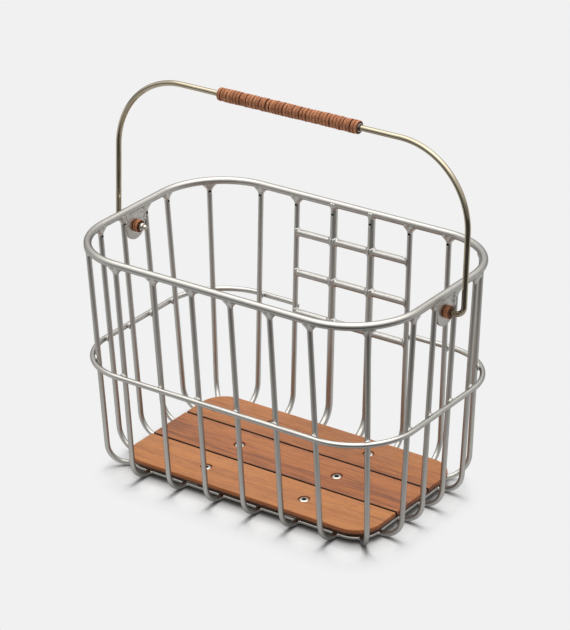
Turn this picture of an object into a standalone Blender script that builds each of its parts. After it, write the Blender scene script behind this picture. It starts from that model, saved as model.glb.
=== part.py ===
"""Bicycle basket: a welded cage of bent tubes on a slatted wooden base, with a swinging bail and its grip.

X runs along the basket's length, +Y points at the back wall with its grid, and Z is up.
The ground lies at Z zero, under the bent feet of the uprights.
"""

import math

import bmesh
import bpy
from mathutils import Matrix, Vector

# Driving dimensions in metres, measured to the centre lines of tubes
RIM_HALF_LENGTH = 0.186
RIM_HALF_WIDTH = 0.12
RIM_CORNER_RADIUS = 0.072
RIM_ABOVE_FEET = 0.2434
RIM_RADIUS = 0.00395

UPRIGHT_RADIUS = 0.0027
STOUT_UPRIGHT_RADIUS = 0.00365
WALL_PITCH = 0.0456
SIDE_PITCH = 0.03595
WALL_LEAN = math.radians(3.36)
CORNER_LEAN = math.radians(2.52)
BEND_RADIUS = 0.0242
FOOT_STRAIGHT = 0.001
RIM_WELD_WIDTH = 0.0052
RIM_WELD_HEIGHT = 0.0062
STOUT_WELD_SHARE = 0.35
FOOT_WELD_FLARE = 0.0009
VENT_RADIUS = 0.001
VENT_DEPTH = 0.0014
VENT_DROP = 0.0108

MID_RING_ABOVE_FEET = 0.1206
MID_RING_RADIUS = 0.0028
MID_RING_SHORTFALL = 0.001
BOTTOM_RING_RADIUS = 0.002

GRID_ROD_RADIUS = 0.0037
GRID_FIRST_DROP = 0.0409
GRID_PITCH = 0.044
GRID_WELD_FLARE = 0.0008
GRID_WELD_LENGTH = 0.0016

BOARD_OVERHANG = 0.0044
BOARD_THICKNESS = 0.006
BOARD_EDGE_EASE = 0.0011
PLANK_GAP = 0.002

CROSSBAR_WIDTH = 0.014
CROSSBAR_THICKNESS = 0.0025
SCREW_COLUMN_X = 0.06
SCREW_SHANK_RADIUS = 0.0024
SCREW_HEAD_RADIUS = 0.0047
SCREW_HEAD_HEIGHT = 0.0022
SCREW_DOME_SHARES = ((1, 0), (1, 0.25), (0.86, 0.7), (0.6, 1))
SCREW_SOCKET_RADIUS = 0.0017
SCREW_SOCKET_DEPTH = 0.0013
SCREW_TIP_BELOW_BAR = 0.001
COUNTERBORE_RADIUS = 0.0055
COUNTERBORE_DEPTH = 0.0028

PIVOT_DROP = 0.0182
PLATE_THICKNESS = 0.003
WASHER_RADIUS = 0.0071
WASHER_THICKNESS = 0.0052
WASHER_EASE = 0.0006
COLLAR_RADIUS = 0.004
COLLAR_LENGTH = 0.004
COLLAR_EASE = 0.0007

BAIL_RADIUS = 0.0028
BAIL_HALF_WIDTH = 0.206
BAIL_REACH = 0.1594
BAIL_CORNER_RADIUS = 0.0781
BAIL_FOOT_BEND = 0.009
BAIL_TIP_PAST_COLLAR = 0.0038
BAIL_LEAN = math.radians(3.8)

GRIP_LENGTH = 0.165
GRIP_RADIUS = 0.0071
GRIP_GROOVE_DEPTH = 0.0009
GRIP_RAGGEDNESS = 0.00035
SLEEVE_WALL = 0.0007
SLEEVE_PROUD = 0.0005

# Clearances: between pieces that touch, round what turns, and how far each cut overruns
SEAT_GAP = 0.0003
SLEEVE_CLEARANCE = 0.0006
OVERRUN = 0.002

# Counts
WALL_UPRIGHTS = 6
SIDE_UPRIGHTS = 4
GRID_ROWS = ("top", "middle", "bottom")
GRIP_DISCS = 42

# Facets, in fours where round bars cross, so that they cross at full radius
RIM_SIDES = 12
TUBE_SIDES = 8
ROUND_STEPS = 12
GRIP_STEPS = 10
CORNER_STEPS = 8
BEND_STEPS = 5
FLARE_STEPS = 3
SOCKET_SIDES = 6
SMOOTH_BELOW = math.radians(50)

# Levels and places that follow from the sizes
FEET_Z = UPRIGHT_RADIUS
RIM_Z = FEET_Z + RIM_ABOVE_FEET
MID_RING_Z = FEET_Z + MID_RING_ABOVE_FEET
PIVOT_Z = RIM_Z - PIVOT_DROP
CROSSBAR_Z = FEET_Z + BOTTOM_RING_RADIUS + SEAT_GAP
STOUT_FOOT_TOP = 2 * STOUT_UPRIGHT_RADIUS
BOARD_Z = max(CROSSBAR_Z + CROSSBAR_THICKNESS, STOUT_FOOT_TOP) + SEAT_GAP
BOARD_TOP_Z = BOARD_Z + BOARD_THICKNESS
PIVOT_X = RIM_HALF_LENGTH - PIVOT_DROP * math.tan(WALL_LEAN)
CORNER_SHARE = 1 - math.sqrt(0.5)
PLANK_NAMES = ("front_plank", "middle_plank", "rear_plank")


def clear_scene():
    """Empty the file that Blender opens with."""
    for obj in list(bpy.data.objects):
        bpy.data.objects.remove(obj, do_unlink=True)


def material(name, colour, metallic, roughness):
    """A plain Principled material, made once for each name."""
    found = bpy.data.materials.get(name)
    if found:
        return found
    made = bpy.data.materials.new(name)
    made.use_nodes = True
    shader = made.node_tree.nodes["Principled BSDF"]
    shader.inputs["Base Color"].default_value = (*colour, 1)
    shader.inputs["Metallic"].default_value = metallic
    shader.inputs["Roughness"].default_value = roughness
    made.diffuse_color = (*colour, 1)
    return made


def satin_tube():
    return material("satin_tube", (0.56, 0.56, 0.54), 1, 0.34)


def polished_wire():
    return material("polished_wire", (0.6, 0.56, 0.47), 1, 0.18)


def bright_fastener():
    return material("bright_fastener", (0.75, 0.74, 0.71), 1, 0.15)


def oiled_wood():
    return material("oiled_wood", (0.42, 0.17, 0.075), 0, 0.55)


def tan_leather():
    return material("tan_leather", (0.36, 0.13, 0.06), 0, 0.6)


def add_object(name, mesh, surface, place=(0, 0, 0), turn=(0, 0, 0), parent=None):
    """Put a mesh in the scene as one named piece."""
    obj = bpy.data.objects.new(name, mesh)
    bpy.context.scene.collection.objects.link(obj)
    if surface and not mesh.materials:
        mesh.materials.append(surface)
    obj.location = place
    obj.rotation_euler = turn
    obj.parent = parent
    return obj


def add_empty(name, place, turn=(0, 0, 0), parent=None):
    """An axis that moving pieces hang from."""
    empty = bpy.data.objects.new(name, None)
    bpy.context.scene.collection.objects.link(empty)
    empty.location = place
    empty.rotation_euler = turn
    empty.parent = parent
    return empty


def as_cutter(obj):
    """Keep a helper solid out of the finished basket."""
    obj.hide_render = True
    obj.display_type = "WIRE"
    return obj


def cut(obj, cutter):
    """Subtract a cutter from a piece."""
    step = obj.modifiers.new("cut_" + cutter.name, "BOOLEAN")
    step.operation = "DIFFERENCE"
    step.object = cutter


def finished_mesh(name, shape):
    """Turn a bmesh into a smooth-shaded mesh with its normals outward."""
    bmesh.ops.recalc_face_normals(shape, faces=shape.faces)
    mesh = bpy.data.meshes.new(name)
    shape.to_mesh(mesh)
    shape.free()
    mesh.shade_smooth()
    mesh.set_sharp_from_angle(angle=SMOOTH_BELOW)
    return mesh


def bridge_rows(shape, rows, loop):
    """Faces between neighbouring rows of points, and back to the first row where it loops."""
    pairs = list(zip(rows, rows[1:]))
    if loop:
        pairs.append((rows[-1], rows[0]))
    for low, high in pairs:
        for i in range(len(low)):
            j = (i + 1) % len(low)
            shape.faces.new((low[i], low[j], high[j], high[i]))


def swept_mesh(name, path, normal, radius, sides, closed=False, widths=None):
    """A round bar along a flat path. normal is the path's plane, and widths flare the bar along it."""
    shape = bmesh.new()
    normal = Vector(normal)
    count = len(path)
    rows = []
    for i, centre in enumerate(path):
        before = path[i - 1] if closed or i else path[i]
        after = path[(i + 1) % count] if closed or i < count - 1 else path[i]
        run = (after - before).normalized()
        outward = run.cross(normal)
        width = widths[i] if widths else radius
        row = []
        for k in range(sides):
            angle = math.tau * k / sides
            offset = outward * (radius * math.cos(angle)) + normal * (width * math.sin(angle))
            row.append(shape.verts.new(centre + offset))
        rows.append(row)
    bridge_rows(shape, rows, closed)
    if not closed:
        shape.faces.new(rows[0])
        shape.faces.new(rows[-1])
    return finished_mesh(name, shape)


def turned_mesh(name, profile, steps, axis="Z", bored=False):
    """Revolve (radius, height) points. A bored profile closes on itself, any other is capped at both ends."""
    shape = bmesh.new()
    rows = []
    for radius, height in profile:
        row = []
        for k in range(steps):
            angle = math.tau * k / steps
            row.append(shape.verts.new((radius * math.cos(angle), radius * math.sin(angle), height)))
        rows.append(row)
    bridge_rows(shape, rows, bored)
    if not bored:
        shape.faces.new(rows[0])
        shape.faces.new(rows[-1])
    if axis == "X":
        bmesh.ops.transform(shape, matrix=Matrix.Rotation(math.pi / 2, 4, "Y"), verts=shape.verts)
    return finished_mesh(name, shape)


def plate_mesh(name, outline, thickness, normal_axis="Z"):
    """Extrude a flat outline. Along X, the outline's points are read as Y and Z."""
    shape = bmesh.new()
    if normal_axis == "X":
        points = [(-thickness / 2, a, b) for a, b in outline]
        depth = Vector((thickness, 0, 0))
    else:
        points = [(a, b, 0) for a, b in outline]
        depth = Vector((0, 0, thickness))
    face = shape.faces.new([shape.verts.new(point) for point in points])
    grown = bmesh.ops.extrude_face_region(shape, geom=[face])
    moved = [item for item in grown["geom"] if isinstance(item, bmesh.types.BMVert)]
    bmesh.ops.translate(shape, vec=depth, verts=moved)
    return finished_mesh(name, shape)


def arc(centre_u, centre_v, radius, start, end, steps):
    """Points on a flat arc, both ends included."""
    angles = [start + (end - start) * i / steps for i in range(steps + 1)]
    return [(centre_u + radius * math.cos(a), centre_v + radius * math.sin(a)) for a in angles]


def rounded_rectangle(half_x, half_y, radius, steps):
    """One turn round a rectangle with round corners, starting at the middle of the right end."""
    quarter = math.pi / 2
    inner_x, inner_y = half_x - radius, half_y - radius
    points = arc(inner_x, inner_y, radius, 0, quarter, steps)
    points += arc(-inner_x, inner_y, radius, quarter, 2 * quarter, steps)
    points += arc(-inner_x, -inner_y, radius, 2 * quarter, 3 * quarter, steps)
    points += arc(inner_x, -inner_y, radius, 3 * quarter, 4 * quarter, steps)
    return points


def foot_inset(lean, foot_z):
    """How far in from the rim's centre line an upright's foot bend ends."""
    drop = RIM_Z - foot_z - BEND_RADIUS
    return drop * math.tan(lean) + BEND_RADIUS / math.cos(lean)


def ring_inset(lean):
    """How far in from the rim's centre line the bottom ring's centre line runs."""
    return foot_inset(lean, FEET_Z) + FOOT_STRAIGHT + SEAT_GAP + BOTTOM_RING_RADIUS


def wall_inset(z):
    """How far in from the rim's centre line the straight walls' uprights are at a level."""
    return (RIM_Z - z) * math.tan(WALL_LEAN)


def followed_radius(straight_inset, corner_inset):
    """The corner radius of a ring that meets the straight walls and the corner uprights alike."""
    return RIM_CORNER_RADIUS + (corner_inset * math.sqrt(0.5) - straight_inset) / CORNER_SHARE


def board_outline():
    """The board's outline, a little wider all round than the ring that carries it."""
    half_x, half_y, radius = bottom_ring_outline()
    return half_x + BOARD_OVERHANG, half_y + BOARD_OVERHANG, radius + BOARD_OVERHANG


def bottom_ring_outline():
    """Half length, half width and corner radius of the bottom ring."""
    inset = ring_inset(WALL_LEAN)
    radius = followed_radius(inset, ring_inset(CORNER_LEAN))
    return RIM_HALF_LENGTH - inset, RIM_HALF_WIDTH - inset, radius


def mid_ring_outline():
    """Half length, half width and corner radius of the ring that hugs the uprights from outside."""
    outside = UPRIGHT_RADIUS + SEAT_GAP + MID_RING_RADIUS
    inset = wall_inset(MID_RING_Z) - outside
    corner_inset = (RIM_Z - MID_RING_Z) * math.tan(CORNER_LEAN) - outside
    radius = followed_radius(inset, corner_inset)
    return RIM_HALF_LENGTH - inset, RIM_HALF_WIDTH - inset, radius


def at_height(points, z):
    return [Vector((x, y, z)) for x, y in points]


def rim_mesh(name, radius):
    outline = rounded_rectangle(RIM_HALF_LENGTH, RIM_HALF_WIDTH, RIM_CORNER_RADIUS, CORNER_STEPS)
    return swept_mesh(name, at_height(outline, RIM_Z), (0, 0, 1), radius, RIM_SIDES, closed=True)


def build_rings():
    """The rim, the open ring at half height and the ring under the board."""
    add_object("top_rim", rim_mesh("top_rim", RIM_RADIUS), satin_tube())

    half_x, half_y, corner = mid_ring_outline()
    outline = rounded_rectangle(half_x, half_y, corner, CORNER_STEPS)
    end_x = WALL_PITCH * (WALL_UPRIGHTS - 3) / 2 + MID_RING_SHORTFALL
    turn = CORNER_STEPS + 1
    path = [(-end_x, half_y)] + outline[turn:] + outline[:turn] + [(end_x, half_y)]
    ring = swept_mesh("mid_ring", at_height(path, MID_RING_Z), (0, 0, 1), MID_RING_RADIUS, TUBE_SIDES)
    add_object("mid_ring", ring, satin_tube())

    outline = rounded_rectangle(*bottom_ring_outline(), CORNER_STEPS)
    ring = swept_mesh(
        "bottom_ring", at_height(outline, FEET_Z), (0, 0, 1), BOTTOM_RING_RADIUS, TUBE_SIDES, closed=True
    )
    add_object("bottom_ring", ring, satin_tube())


def upright_path(tube_radius, lean, weld_share):
    """Centre line and widths of an upright, with local Y outward from the rim's centre line."""
    slope = Vector((0, -math.sin(lean), -math.cos(lean)))
    foot_z = tube_radius
    weld_width, weld_height = weld_share * RIM_WELD_WIDTH, weld_share * RIM_WELD_HEIGHT
    path, widths = [Vector((0, 0, RIM_Z))], [tube_radius + weld_width]
    for i in range(FLARE_STEPS + 1):
        angle = math.pi / 2 * i / FLARE_STEPS
        below = RIM_RADIUS + weld_height * (1 - math.cos(angle))
        path.append(path[0] + slope * below)
        widths.append(tube_radius + weld_width * (1 - math.sin(angle)))
    inset = foot_inset(lean, foot_z)
    bend = arc(-inset, foot_z + BEND_RADIUS, BEND_RADIUS, -lean, -math.pi / 2, BEND_STEPS)
    path += [Vector((0, y, z)) for y, z in bend]
    foot_end = foot_inset(lean, FEET_Z) + FOOT_STRAIGHT
    path.append(Vector((0, -foot_end, foot_z)))
    widths += [tube_radius] * len(bend) + [tube_radius + FOOT_WELD_FLARE]
    return path, widths


def upright_mesh(name, tube_radius, lean, weld_share=1):
    path, widths = upright_path(tube_radius, lean, weld_share)
    return swept_mesh(name, path, (1, 0, 0), tube_radius, TUBE_SIDES, widths=widths)


def vent_cutter(name, tube_radius, lean):
    """The small drilled hole on an upright's inner side, as a cutter on its local axes."""
    inner_y = -VENT_DROP * math.tan(lean) - tube_radius
    mesh = turned_mesh(name, [(VENT_RADIUS, -OVERRUN), (VENT_RADIUS, VENT_DEPTH)], TUBE_SIDES)
    turn = Matrix.Rotation(-math.pi / 2, 4, "X")
    mesh.transform(Matrix.Translation((0, inner_y, RIM_Z - VENT_DROP)) @ turn)
    return mesh


def add_upright(name, mesh, drill, rim_cutter, place, turn_z):
    """One upright, its top coped to the rim and its vent hole drilled."""
    post = add_object(name, mesh, satin_tube(), place, (0, 0, turn_z))
    hole = as_cutter(add_object("vent_of_" + name, drill, None, place, (0, 0, turn_z)))
    cut(post, rim_cutter)
    cut(post, hole)


def build_uprights(rim_cutter):
    """All the uprights: two long walls, two short ones and the four corners."""
    plain = upright_mesh("upright", UPRIGHT_RADIUS, WALL_LEAN)
    stout = upright_mesh("stout_upright", STOUT_UPRIGHT_RADIUS, WALL_LEAN, STOUT_WELD_SHARE)
    corner = upright_mesh("corner_upright", UPRIGHT_RADIUS, CORNER_LEAN)
    plain_drill = vent_cutter("vent_cutter", UPRIGHT_RADIUS, WALL_LEAN)
    stout_drill = vent_cutter("stout_vent_cutter", STOUT_UPRIGHT_RADIUS, WALL_LEAN)
    corner_drill = vent_cutter("corner_vent_cutter", UPRIGHT_RADIUS, CORNER_LEAN)

    for i in range(WALL_UPRIGHTS):
        x = WALL_PITCH * (i - (WALL_UPRIGHTS - 1) / 2)
        in_grid_middle = i in (WALL_UPRIGHTS // 2 - 1, WALL_UPRIGHTS // 2)
        front_place, back_place = (x, -RIM_HALF_WIDTH, 0), (x, RIM_HALF_WIDTH, 0)
        add_upright(f"front_upright_{i + 1}", plain, plain_drill, rim_cutter, front_place, math.pi)
        mesh, drill = (stout, stout_drill) if in_grid_middle else (plain, plain_drill)
        add_upright(f"back_upright_{i + 1}", mesh, drill, rim_cutter, back_place, 0)

    for i in range(SIDE_UPRIGHTS):
        y = SIDE_PITCH * (i - (SIDE_UPRIGHTS - 1) / 2)
        for side, sign in (("left", -1), ("right", 1)):
            place, turn = (sign * RIM_HALF_LENGTH, y, 0), -sign * math.pi / 2
            add_upright(f"{side}_upright_{i + 1}", plain, plain_drill, rim_cutter, place, turn)

    inset = RIM_CORNER_RADIUS * CORNER_SHARE
    for wall, sign_y in (("front", -1), ("back", 1)):
        for side, sign_x in (("left", -1), ("right", 1)):
            place = (sign_x * (RIM_HALF_LENGTH - inset), sign_y * (RIM_HALF_WIDTH - inset), 0)
            turn = math.atan2(sign_y, sign_x) - math.pi / 2
            name = f"{wall}_{side}_corner_upright"
            add_upright(name, corner, corner_drill, rim_cutter, place, turn)


def grid_rod_mesh(length):
    """A short bar along X, flared at both ends where it is welded."""
    ends = [-length / 2, GRID_WELD_LENGTH - length / 2, length / 2 - GRID_WELD_LENGTH, length / 2]
    radii = [GRID_ROD_RADIUS + GRID_WELD_FLARE, GRID_ROD_RADIUS]
    profile = list(zip(radii + radii[::-1], ends))
    return turned_mesh("grid_rod", profile, TUBE_SIDES, axis="X")


def build_grid():
    """Three rows of bars between the four middle uprights of the back wall."""
    stout_x, plain_x = WALL_PITCH / 2, WALL_PITCH * 3 / 2
    centre_end = stout_x - STOUT_UPRIGHT_RADIUS - SEAT_GAP
    outer_near, outer_far = stout_x + STOUT_UPRIGHT_RADIUS + SEAT_GAP, plain_x - UPRIGHT_RADIUS - SEAT_GAP
    centre = grid_rod_mesh(2 * centre_end)
    outer = grid_rod_mesh(outer_far - outer_near)
    outer_x = (outer_near + outer_far) / 2
    for row, label in enumerate(GRID_ROWS):
        z = RIM_Z - GRID_FIRST_DROP - row * GRID_PITCH
        y = RIM_HALF_WIDTH - wall_inset(z)
        for side, mesh, x in (("left", outer, -outer_x), ("centre", centre, 0), ("right", outer, outer_x)):
            add_object(f"grid_rod_{label}_{side}", mesh, satin_tube(), (x, y, z))


def plank_width():
    return (2 * board_outline()[1] - (len(PLANK_NAMES) - 1) * PLANK_GAP) / len(PLANK_NAMES)


def plank_outline(row):
    """Outline of one plank. The first and the last share the board's round corners."""
    half_x, half_y, radius = board_outline()
    low = row * (plank_width() + PLANK_GAP) - half_y
    high = low + plank_width()
    board = rounded_rectangle(half_x, half_y, radius, CORNER_STEPS)
    turn = 2 * CORNER_STEPS + 2
    if row == 0:
        return [(half_x, high), (-half_x, high)] + board[turn:]
    if row == len(PLANK_NAMES) - 1:
        return board[:turn] + [(-half_x, low), (half_x, low)]
    return [(-half_x, low), (half_x, low), (half_x, high), (-half_x, high)]


def ease_edges(obj, width):
    """Break the sharp edges of a plate."""
    step = obj.modifiers.new("eased_edges", "BEVEL")
    step.width = width
    step.segments = 2
    step.limit_method = "ANGLE"
    step.angle_limit = SMOOTH_BELOW


def screw_mesh():
    """A button-headed screw with its head's underside at Z zero."""
    shank = BOARD_TOP_Z - COUNTERBORE_DEPTH + SEAT_GAP - CROSSBAR_Z + SCREW_TIP_BELOW_BAR
    dome = [(r * SCREW_HEAD_RADIUS, h * SCREW_HEAD_HEIGHT) for r, h in SCREW_DOME_SHARES]
    profile = [(SCREW_SHANK_RADIUS, -shank), (SCREW_SHANK_RADIUS, 0)] + dome
    return turned_mesh("screw", profile, ROUND_STEPS)


def build_base():
    """Two crossbars on the bottom ring, three planks on them and six screws."""
    ring_half_y = bottom_ring_outline()[1]
    bar_half = ring_half_y + BOTTOM_RING_RADIUS / 2
    half_width = CROSSBAR_WIDTH / 2
    outline = [(-half_width, -bar_half), (half_width, -bar_half)]
    outline += [(half_width, bar_half), (-half_width, bar_half)]
    bar = plate_mesh("crossbar", outline, CROSSBAR_THICKNESS)
    hole_radius = SCREW_SHANK_RADIUS + SEAT_GAP
    counterbore_z = BOARD_TOP_Z - COUNTERBORE_DEPTH
    drill_profile = [
        (hole_radius, CROSSBAR_Z - OVERRUN),
        (hole_radius, counterbore_z),
        (COUNTERBORE_RADIUS, counterbore_z),
        (COUNTERBORE_RADIUS, BOARD_TOP_Z + OVERRUN),
    ]
    drill = turned_mesh("screw_drill", drill_profile, ROUND_STEPS)
    socket_profile = [
        (SCREW_SOCKET_RADIUS, SCREW_HEAD_HEIGHT - SCREW_SOCKET_DEPTH),
        (SCREW_SOCKET_RADIUS, SCREW_HEAD_HEIGHT + OVERRUN),
    ]
    socket = turned_mesh("socket_cutter", socket_profile, SOCKET_SIDES)
    screw = screw_mesh()

    bars = {}
    for side, sign in (("left", -1), ("right", 1)):
        name = f"crossbar_{side}"
        bars[sign] = add_object(name, bar, satin_tube(), (sign * SCREW_COLUMN_X, 0, CROSSBAR_Z))

    for row, label in enumerate(PLANK_NAMES):
        mesh = plate_mesh(label, plank_outline(row), BOARD_THICKNESS)
        plank = add_object(label, mesh, oiled_wood(), (0, 0, BOARD_Z))
        ease_edges(plank, BOARD_EDGE_EASE)
        y = (row - (len(PLANK_NAMES) - 1) / 2) * (plank_width() + PLANK_GAP)
        for side, sign in (("left", -1), ("right", 1)):
            place = (sign * SCREW_COLUMN_X, y, 0)
            name = f"{label}_screw_{side}"
            hole = as_cutter(add_object("drill_of_" + name, drill, None, place))
            cut(plank, hole)
            cut(bars[sign], hole)
            head_place = (place[0], y, counterbore_z + SEAT_GAP)
            piece = add_object(name, screw, bright_fastener(), head_place)
            cut(piece, as_cutter(add_object("socket_of_" + name, socket, None, head_place)))


def pivot_plate_outline():
    """Y and Z of the plate: a round tongue below the pivot, and top corners that follow the welds."""
    half = SIDE_PITCH / 2 - UPRIGHT_RADIUS - SEAT_GAP
    tongue = arc(0, 0, half, math.pi, math.tau, 2 * CORNER_STEPS)
    corner_width = RIM_WELD_WIDTH - SEAT_GAP
    corner_y, corner_z = half - corner_width, PIVOT_DROP - RIM_RADIUS - RIM_WELD_HEIGHT
    quarter = arc(0, 0, 1, 0, math.pi / 2, FLARE_STEPS)
    right = [(corner_y + corner_width * u, corner_z + RIM_WELD_HEIGHT * v) for u, v in quarter]
    left = [(-y, z) for y, z in right[::-1]]
    return tongue + right + [(corner_y, PIVOT_DROP), (-corner_y, PIVOT_DROP)] + left


def ring_mesh(name, radius, bore, length, ease):
    """A bored disc along X with its near face at X zero and its outer edges eased."""
    profile = [
        (bore, 0),
        (bore, length),
        (radius - ease, length),
        (radius, length - ease),
        (radius, ease),
        (radius - ease, 0),
    ]
    return turned_mesh(name, profile, ROUND_STEPS, axis="X", bored=True)


def build_pivots(rim_cutter, bail_axis):
    """Plates between the side walls' middle uprights, leather washers on both faces, and end collars."""
    plate = plate_mesh("pivot_plate", pivot_plate_outline(), PLATE_THICKNESS, "X")
    bore = BAIL_RADIUS + SEAT_GAP
    reach = PLATE_THICKNESS / 2 + OVERRUN
    bore_cutter = turned_mesh("pivot_bore", [(bore, -reach), (bore, reach)], ROUND_STEPS, axis="X")
    washer = ring_mesh("leather_washer", WASHER_RADIUS, bore, WASHER_THICKNESS, WASHER_EASE)
    collar = ring_mesh("end_collar", COLLAR_RADIUS, bore, COLLAR_LENGTH, COLLAR_EASE)
    washer_near = PLATE_THICKNESS / 2 + SEAT_GAP
    collar_near = washer_near + WASHER_THICKNESS + SEAT_GAP

    for side, sign in (("left", -1), ("right", 1)):
        turn = (0, 0, 0) if sign > 0 else (0, 0, math.pi)
        place = (sign * PIVOT_X, 0, PIVOT_Z)
        piece = add_object(f"pivot_plate_{side}", plate, satin_tube(), place)
        cut(piece, rim_cutter)
        cut(piece, as_cutter(add_object(f"pivot_bore_{side}", bore_cutter, None, place)))
        outer_place = (sign * (PIVOT_X + washer_near), 0, PIVOT_Z)
        inner_place = (sign * (PIVOT_X - washer_near - WASHER_THICKNESS), 0, PIVOT_Z)
        add_object(f"outer_washer_{side}", washer, tan_leather(), outer_place, turn)
        add_object(f"inner_washer_{side}", washer, tan_leather(), inner_place, turn)
        collar_place = (sign * (PIVOT_X - collar_near - COLLAR_LENGTH), 0, 0)
        add_object(f"end_collar_{side}", collar, bright_fastener(), collar_place, turn, bail_axis)


def bail_path():
    """The bail's centre line in its own upright plane, from the left tip over the top to the right tip."""
    collar_far = PLATE_THICKNESS / 2 + WASHER_THICKNESS + 2 * SEAT_GAP + COLLAR_LENGTH
    tip_x = PIVOT_X - collar_far - BAIL_TIP_PAST_COLLAR
    foot_x, top_x = BAIL_HALF_WIDTH - BAIL_FOOT_BEND, BAIL_HALF_WIDTH - BAIL_CORNER_RADIUS
    top_z = BAIL_REACH - BAIL_CORNER_RADIUS
    right = [(tip_x, 0)]
    right += arc(foot_x, BAIL_FOOT_BEND, BAIL_FOOT_BEND, -math.pi / 2, 0, BEND_STEPS)
    right += arc(top_x, top_z, BAIL_CORNER_RADIUS, 0, math.pi / 2, 2 * BEND_STEPS)
    left = [(-x, z) for x, z in right]
    return [Vector((x, 0, z)) for x, z in left + right[::-1]]


def grip_profile():
    """Radius and place of each leather disc's crest and groove, each disc a little unlike the next."""
    bore = BAIL_RADIUS + SLEEVE_CLEARANCE + SLEEVE_WALL + SEAT_GAP
    pitch = GRIP_LENGTH / GRIP_DISCS
    profile = []
    for i in range(GRIP_DISCS):
        crest = GRIP_RADIUS - GRIP_RAGGEDNESS * (1 + math.sin(2.4 * i) * math.cos(1.1 * i)) / 2
        start = -GRIP_LENGTH / 2 + i * pitch
        profile.append((crest - GRIP_GROOVE_DEPTH, start))
        profile.append((crest, start + pitch / 2))
    profile.append((GRIP_RADIUS - GRIP_GROOVE_DEPTH, GRIP_LENGTH / 2))
    return profile + [(bore, GRIP_LENGTH / 2), (bore, -GRIP_LENGTH / 2)]


def build_bail(bail_axis):
    """The bail, and the sleeve with its stack of leather discs on the top run."""
    mesh = swept_mesh("bail", bail_path(), (0, 1, 0), BAIL_RADIUS, TUBE_SIDES)
    add_object("bail", mesh, polished_wire(), parent=bail_axis)
    grip_axis = add_empty("grip_axis", (0, 0, BAIL_REACH), parent=bail_axis)

    half = GRIP_LENGTH / 2 + SLEEVE_PROUD
    inner = BAIL_RADIUS + SLEEVE_CLEARANCE
    outer = inner + SLEEVE_WALL
    sleeve_profile = [(inner, -half), (inner, half), (outer, half), (outer, -half)]
    sleeve = turned_mesh("grip_sleeve", sleeve_profile, GRIP_STEPS, axis="X", bored=True)
    add_object("grip_sleeve", sleeve, bright_fastener(), parent=grip_axis)
    discs = turned_mesh("leather_grip", grip_profile(), GRIP_STEPS, axis="X", bored=True)
    add_object("leather_grip", discs, tan_leather(), parent=grip_axis)


def main():
    clear_scene()
    rim_cutter = as_cutter(add_object("rim_cutter", rim_mesh("rim_cutter", RIM_RADIUS + SEAT_GAP), None))
    bail_axis = add_empty("bail_axis", (0, 0, PIVOT_Z), (-BAIL_LEAN, 0, 0))
    build_rings()
    build_uprights(rim_cutter)
    build_grid()
    build_base()
    build_pivots(rim_cutter, bail_axis)
    build_bail(bail_axis)


main()
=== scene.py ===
"""The visible pieces of a bicycle basket: a welded cage, a wooden base and a bail with a leather grip."""

import math
from collections import namedtuple
from functools import partial
from types import SimpleNamespace

import bmesh
import bpy
from bpy.props import FloatProperty, FloatVectorProperty, IntProperty, PointerProperty
from mathutils import Matrix, Vector, noise


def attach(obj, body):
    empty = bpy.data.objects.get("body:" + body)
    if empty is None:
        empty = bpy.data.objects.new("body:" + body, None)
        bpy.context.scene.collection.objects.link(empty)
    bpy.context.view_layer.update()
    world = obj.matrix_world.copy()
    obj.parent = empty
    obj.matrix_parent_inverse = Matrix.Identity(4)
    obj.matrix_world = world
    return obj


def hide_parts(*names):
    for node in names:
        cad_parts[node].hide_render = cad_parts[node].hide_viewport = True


bl_info = {
    "name": "Bicycle Basket",
    "version": (1, 0, 0),
    "blender": (4, 5, 0),
    "location": "3D View > Sidebar > Basket",
    "description": "Builds a welded tube basket with a plank base and a swinging bail",
    "category": "Add Mesh",
}

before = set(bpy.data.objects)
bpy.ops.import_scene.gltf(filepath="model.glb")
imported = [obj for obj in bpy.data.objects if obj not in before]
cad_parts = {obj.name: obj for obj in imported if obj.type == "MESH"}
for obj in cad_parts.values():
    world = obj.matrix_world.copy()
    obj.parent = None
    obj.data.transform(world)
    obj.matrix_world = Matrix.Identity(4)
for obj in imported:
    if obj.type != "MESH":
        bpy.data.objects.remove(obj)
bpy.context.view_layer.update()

FAR = 1.0
SAME_PLACE = 1e-7
SEED = 7
SHARP_ABOVE = math.radians(40)
EASE_ABOVE = math.radians(35)
CORNER_SHARE = 1 - math.sqrt(0.5)
RIM_STEPS, RING_STEPS, PLANK_STEPS = 26, 24, 20
RIM_SIDES, BAIL_SIDES, DISC_STEPS, ROUND_STEPS = 40, 36, 40, 48
DISC_OVERLAP = 1.03
VENT_PROFILE = ((1.6, -0.0006), (1.3, 0.0), (1.0, 0.0003), (1.0, 0.0038))
FLOOR_HALF_SIZE, FARTHEST_SEEN, SENSOR_WIDTH = 6.0, 50.0, 36.0
GRID_ROWS = ("top", "middle", "bottom")
PLANKS = ("front_plank", "middle_plank", "rear_plank")
PLANK_TONES = (0.9, 0.25, 0.6)
SIDES = (("left", -1), ("right", 1))

Post = namedtuple("Post", "name x y spin axis lean radius reach width")
GuidePoint = namedtuple(
    "GuidePoint",
    "centre tube_radius axis mate_radius mate_distance weld_reach weld_width share",
    defaults=(Vector((0, 0, 1)), 0.0, FAR, 0.0, 0.0, 1.0),
)


# Sizes and colours that a user may change


def length(name, description, default):
    return FloatProperty(
        name=name, description=description, default=default, min=0, precision=5, unit="LENGTH"
    )


def angle(name, description, degrees):
    return FloatProperty(
        name=name, description=description, default=math.radians(degrees), subtype="ANGLE"
    )


def count(name, description, default):
    return IntProperty(name=name, description=description, default=default, min=1)


def colour(name, description, default):
    return FloatVectorProperty(
        name=name, description=description, default=default, min=0, max=1, size=3, subtype="COLOR"
    )


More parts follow.
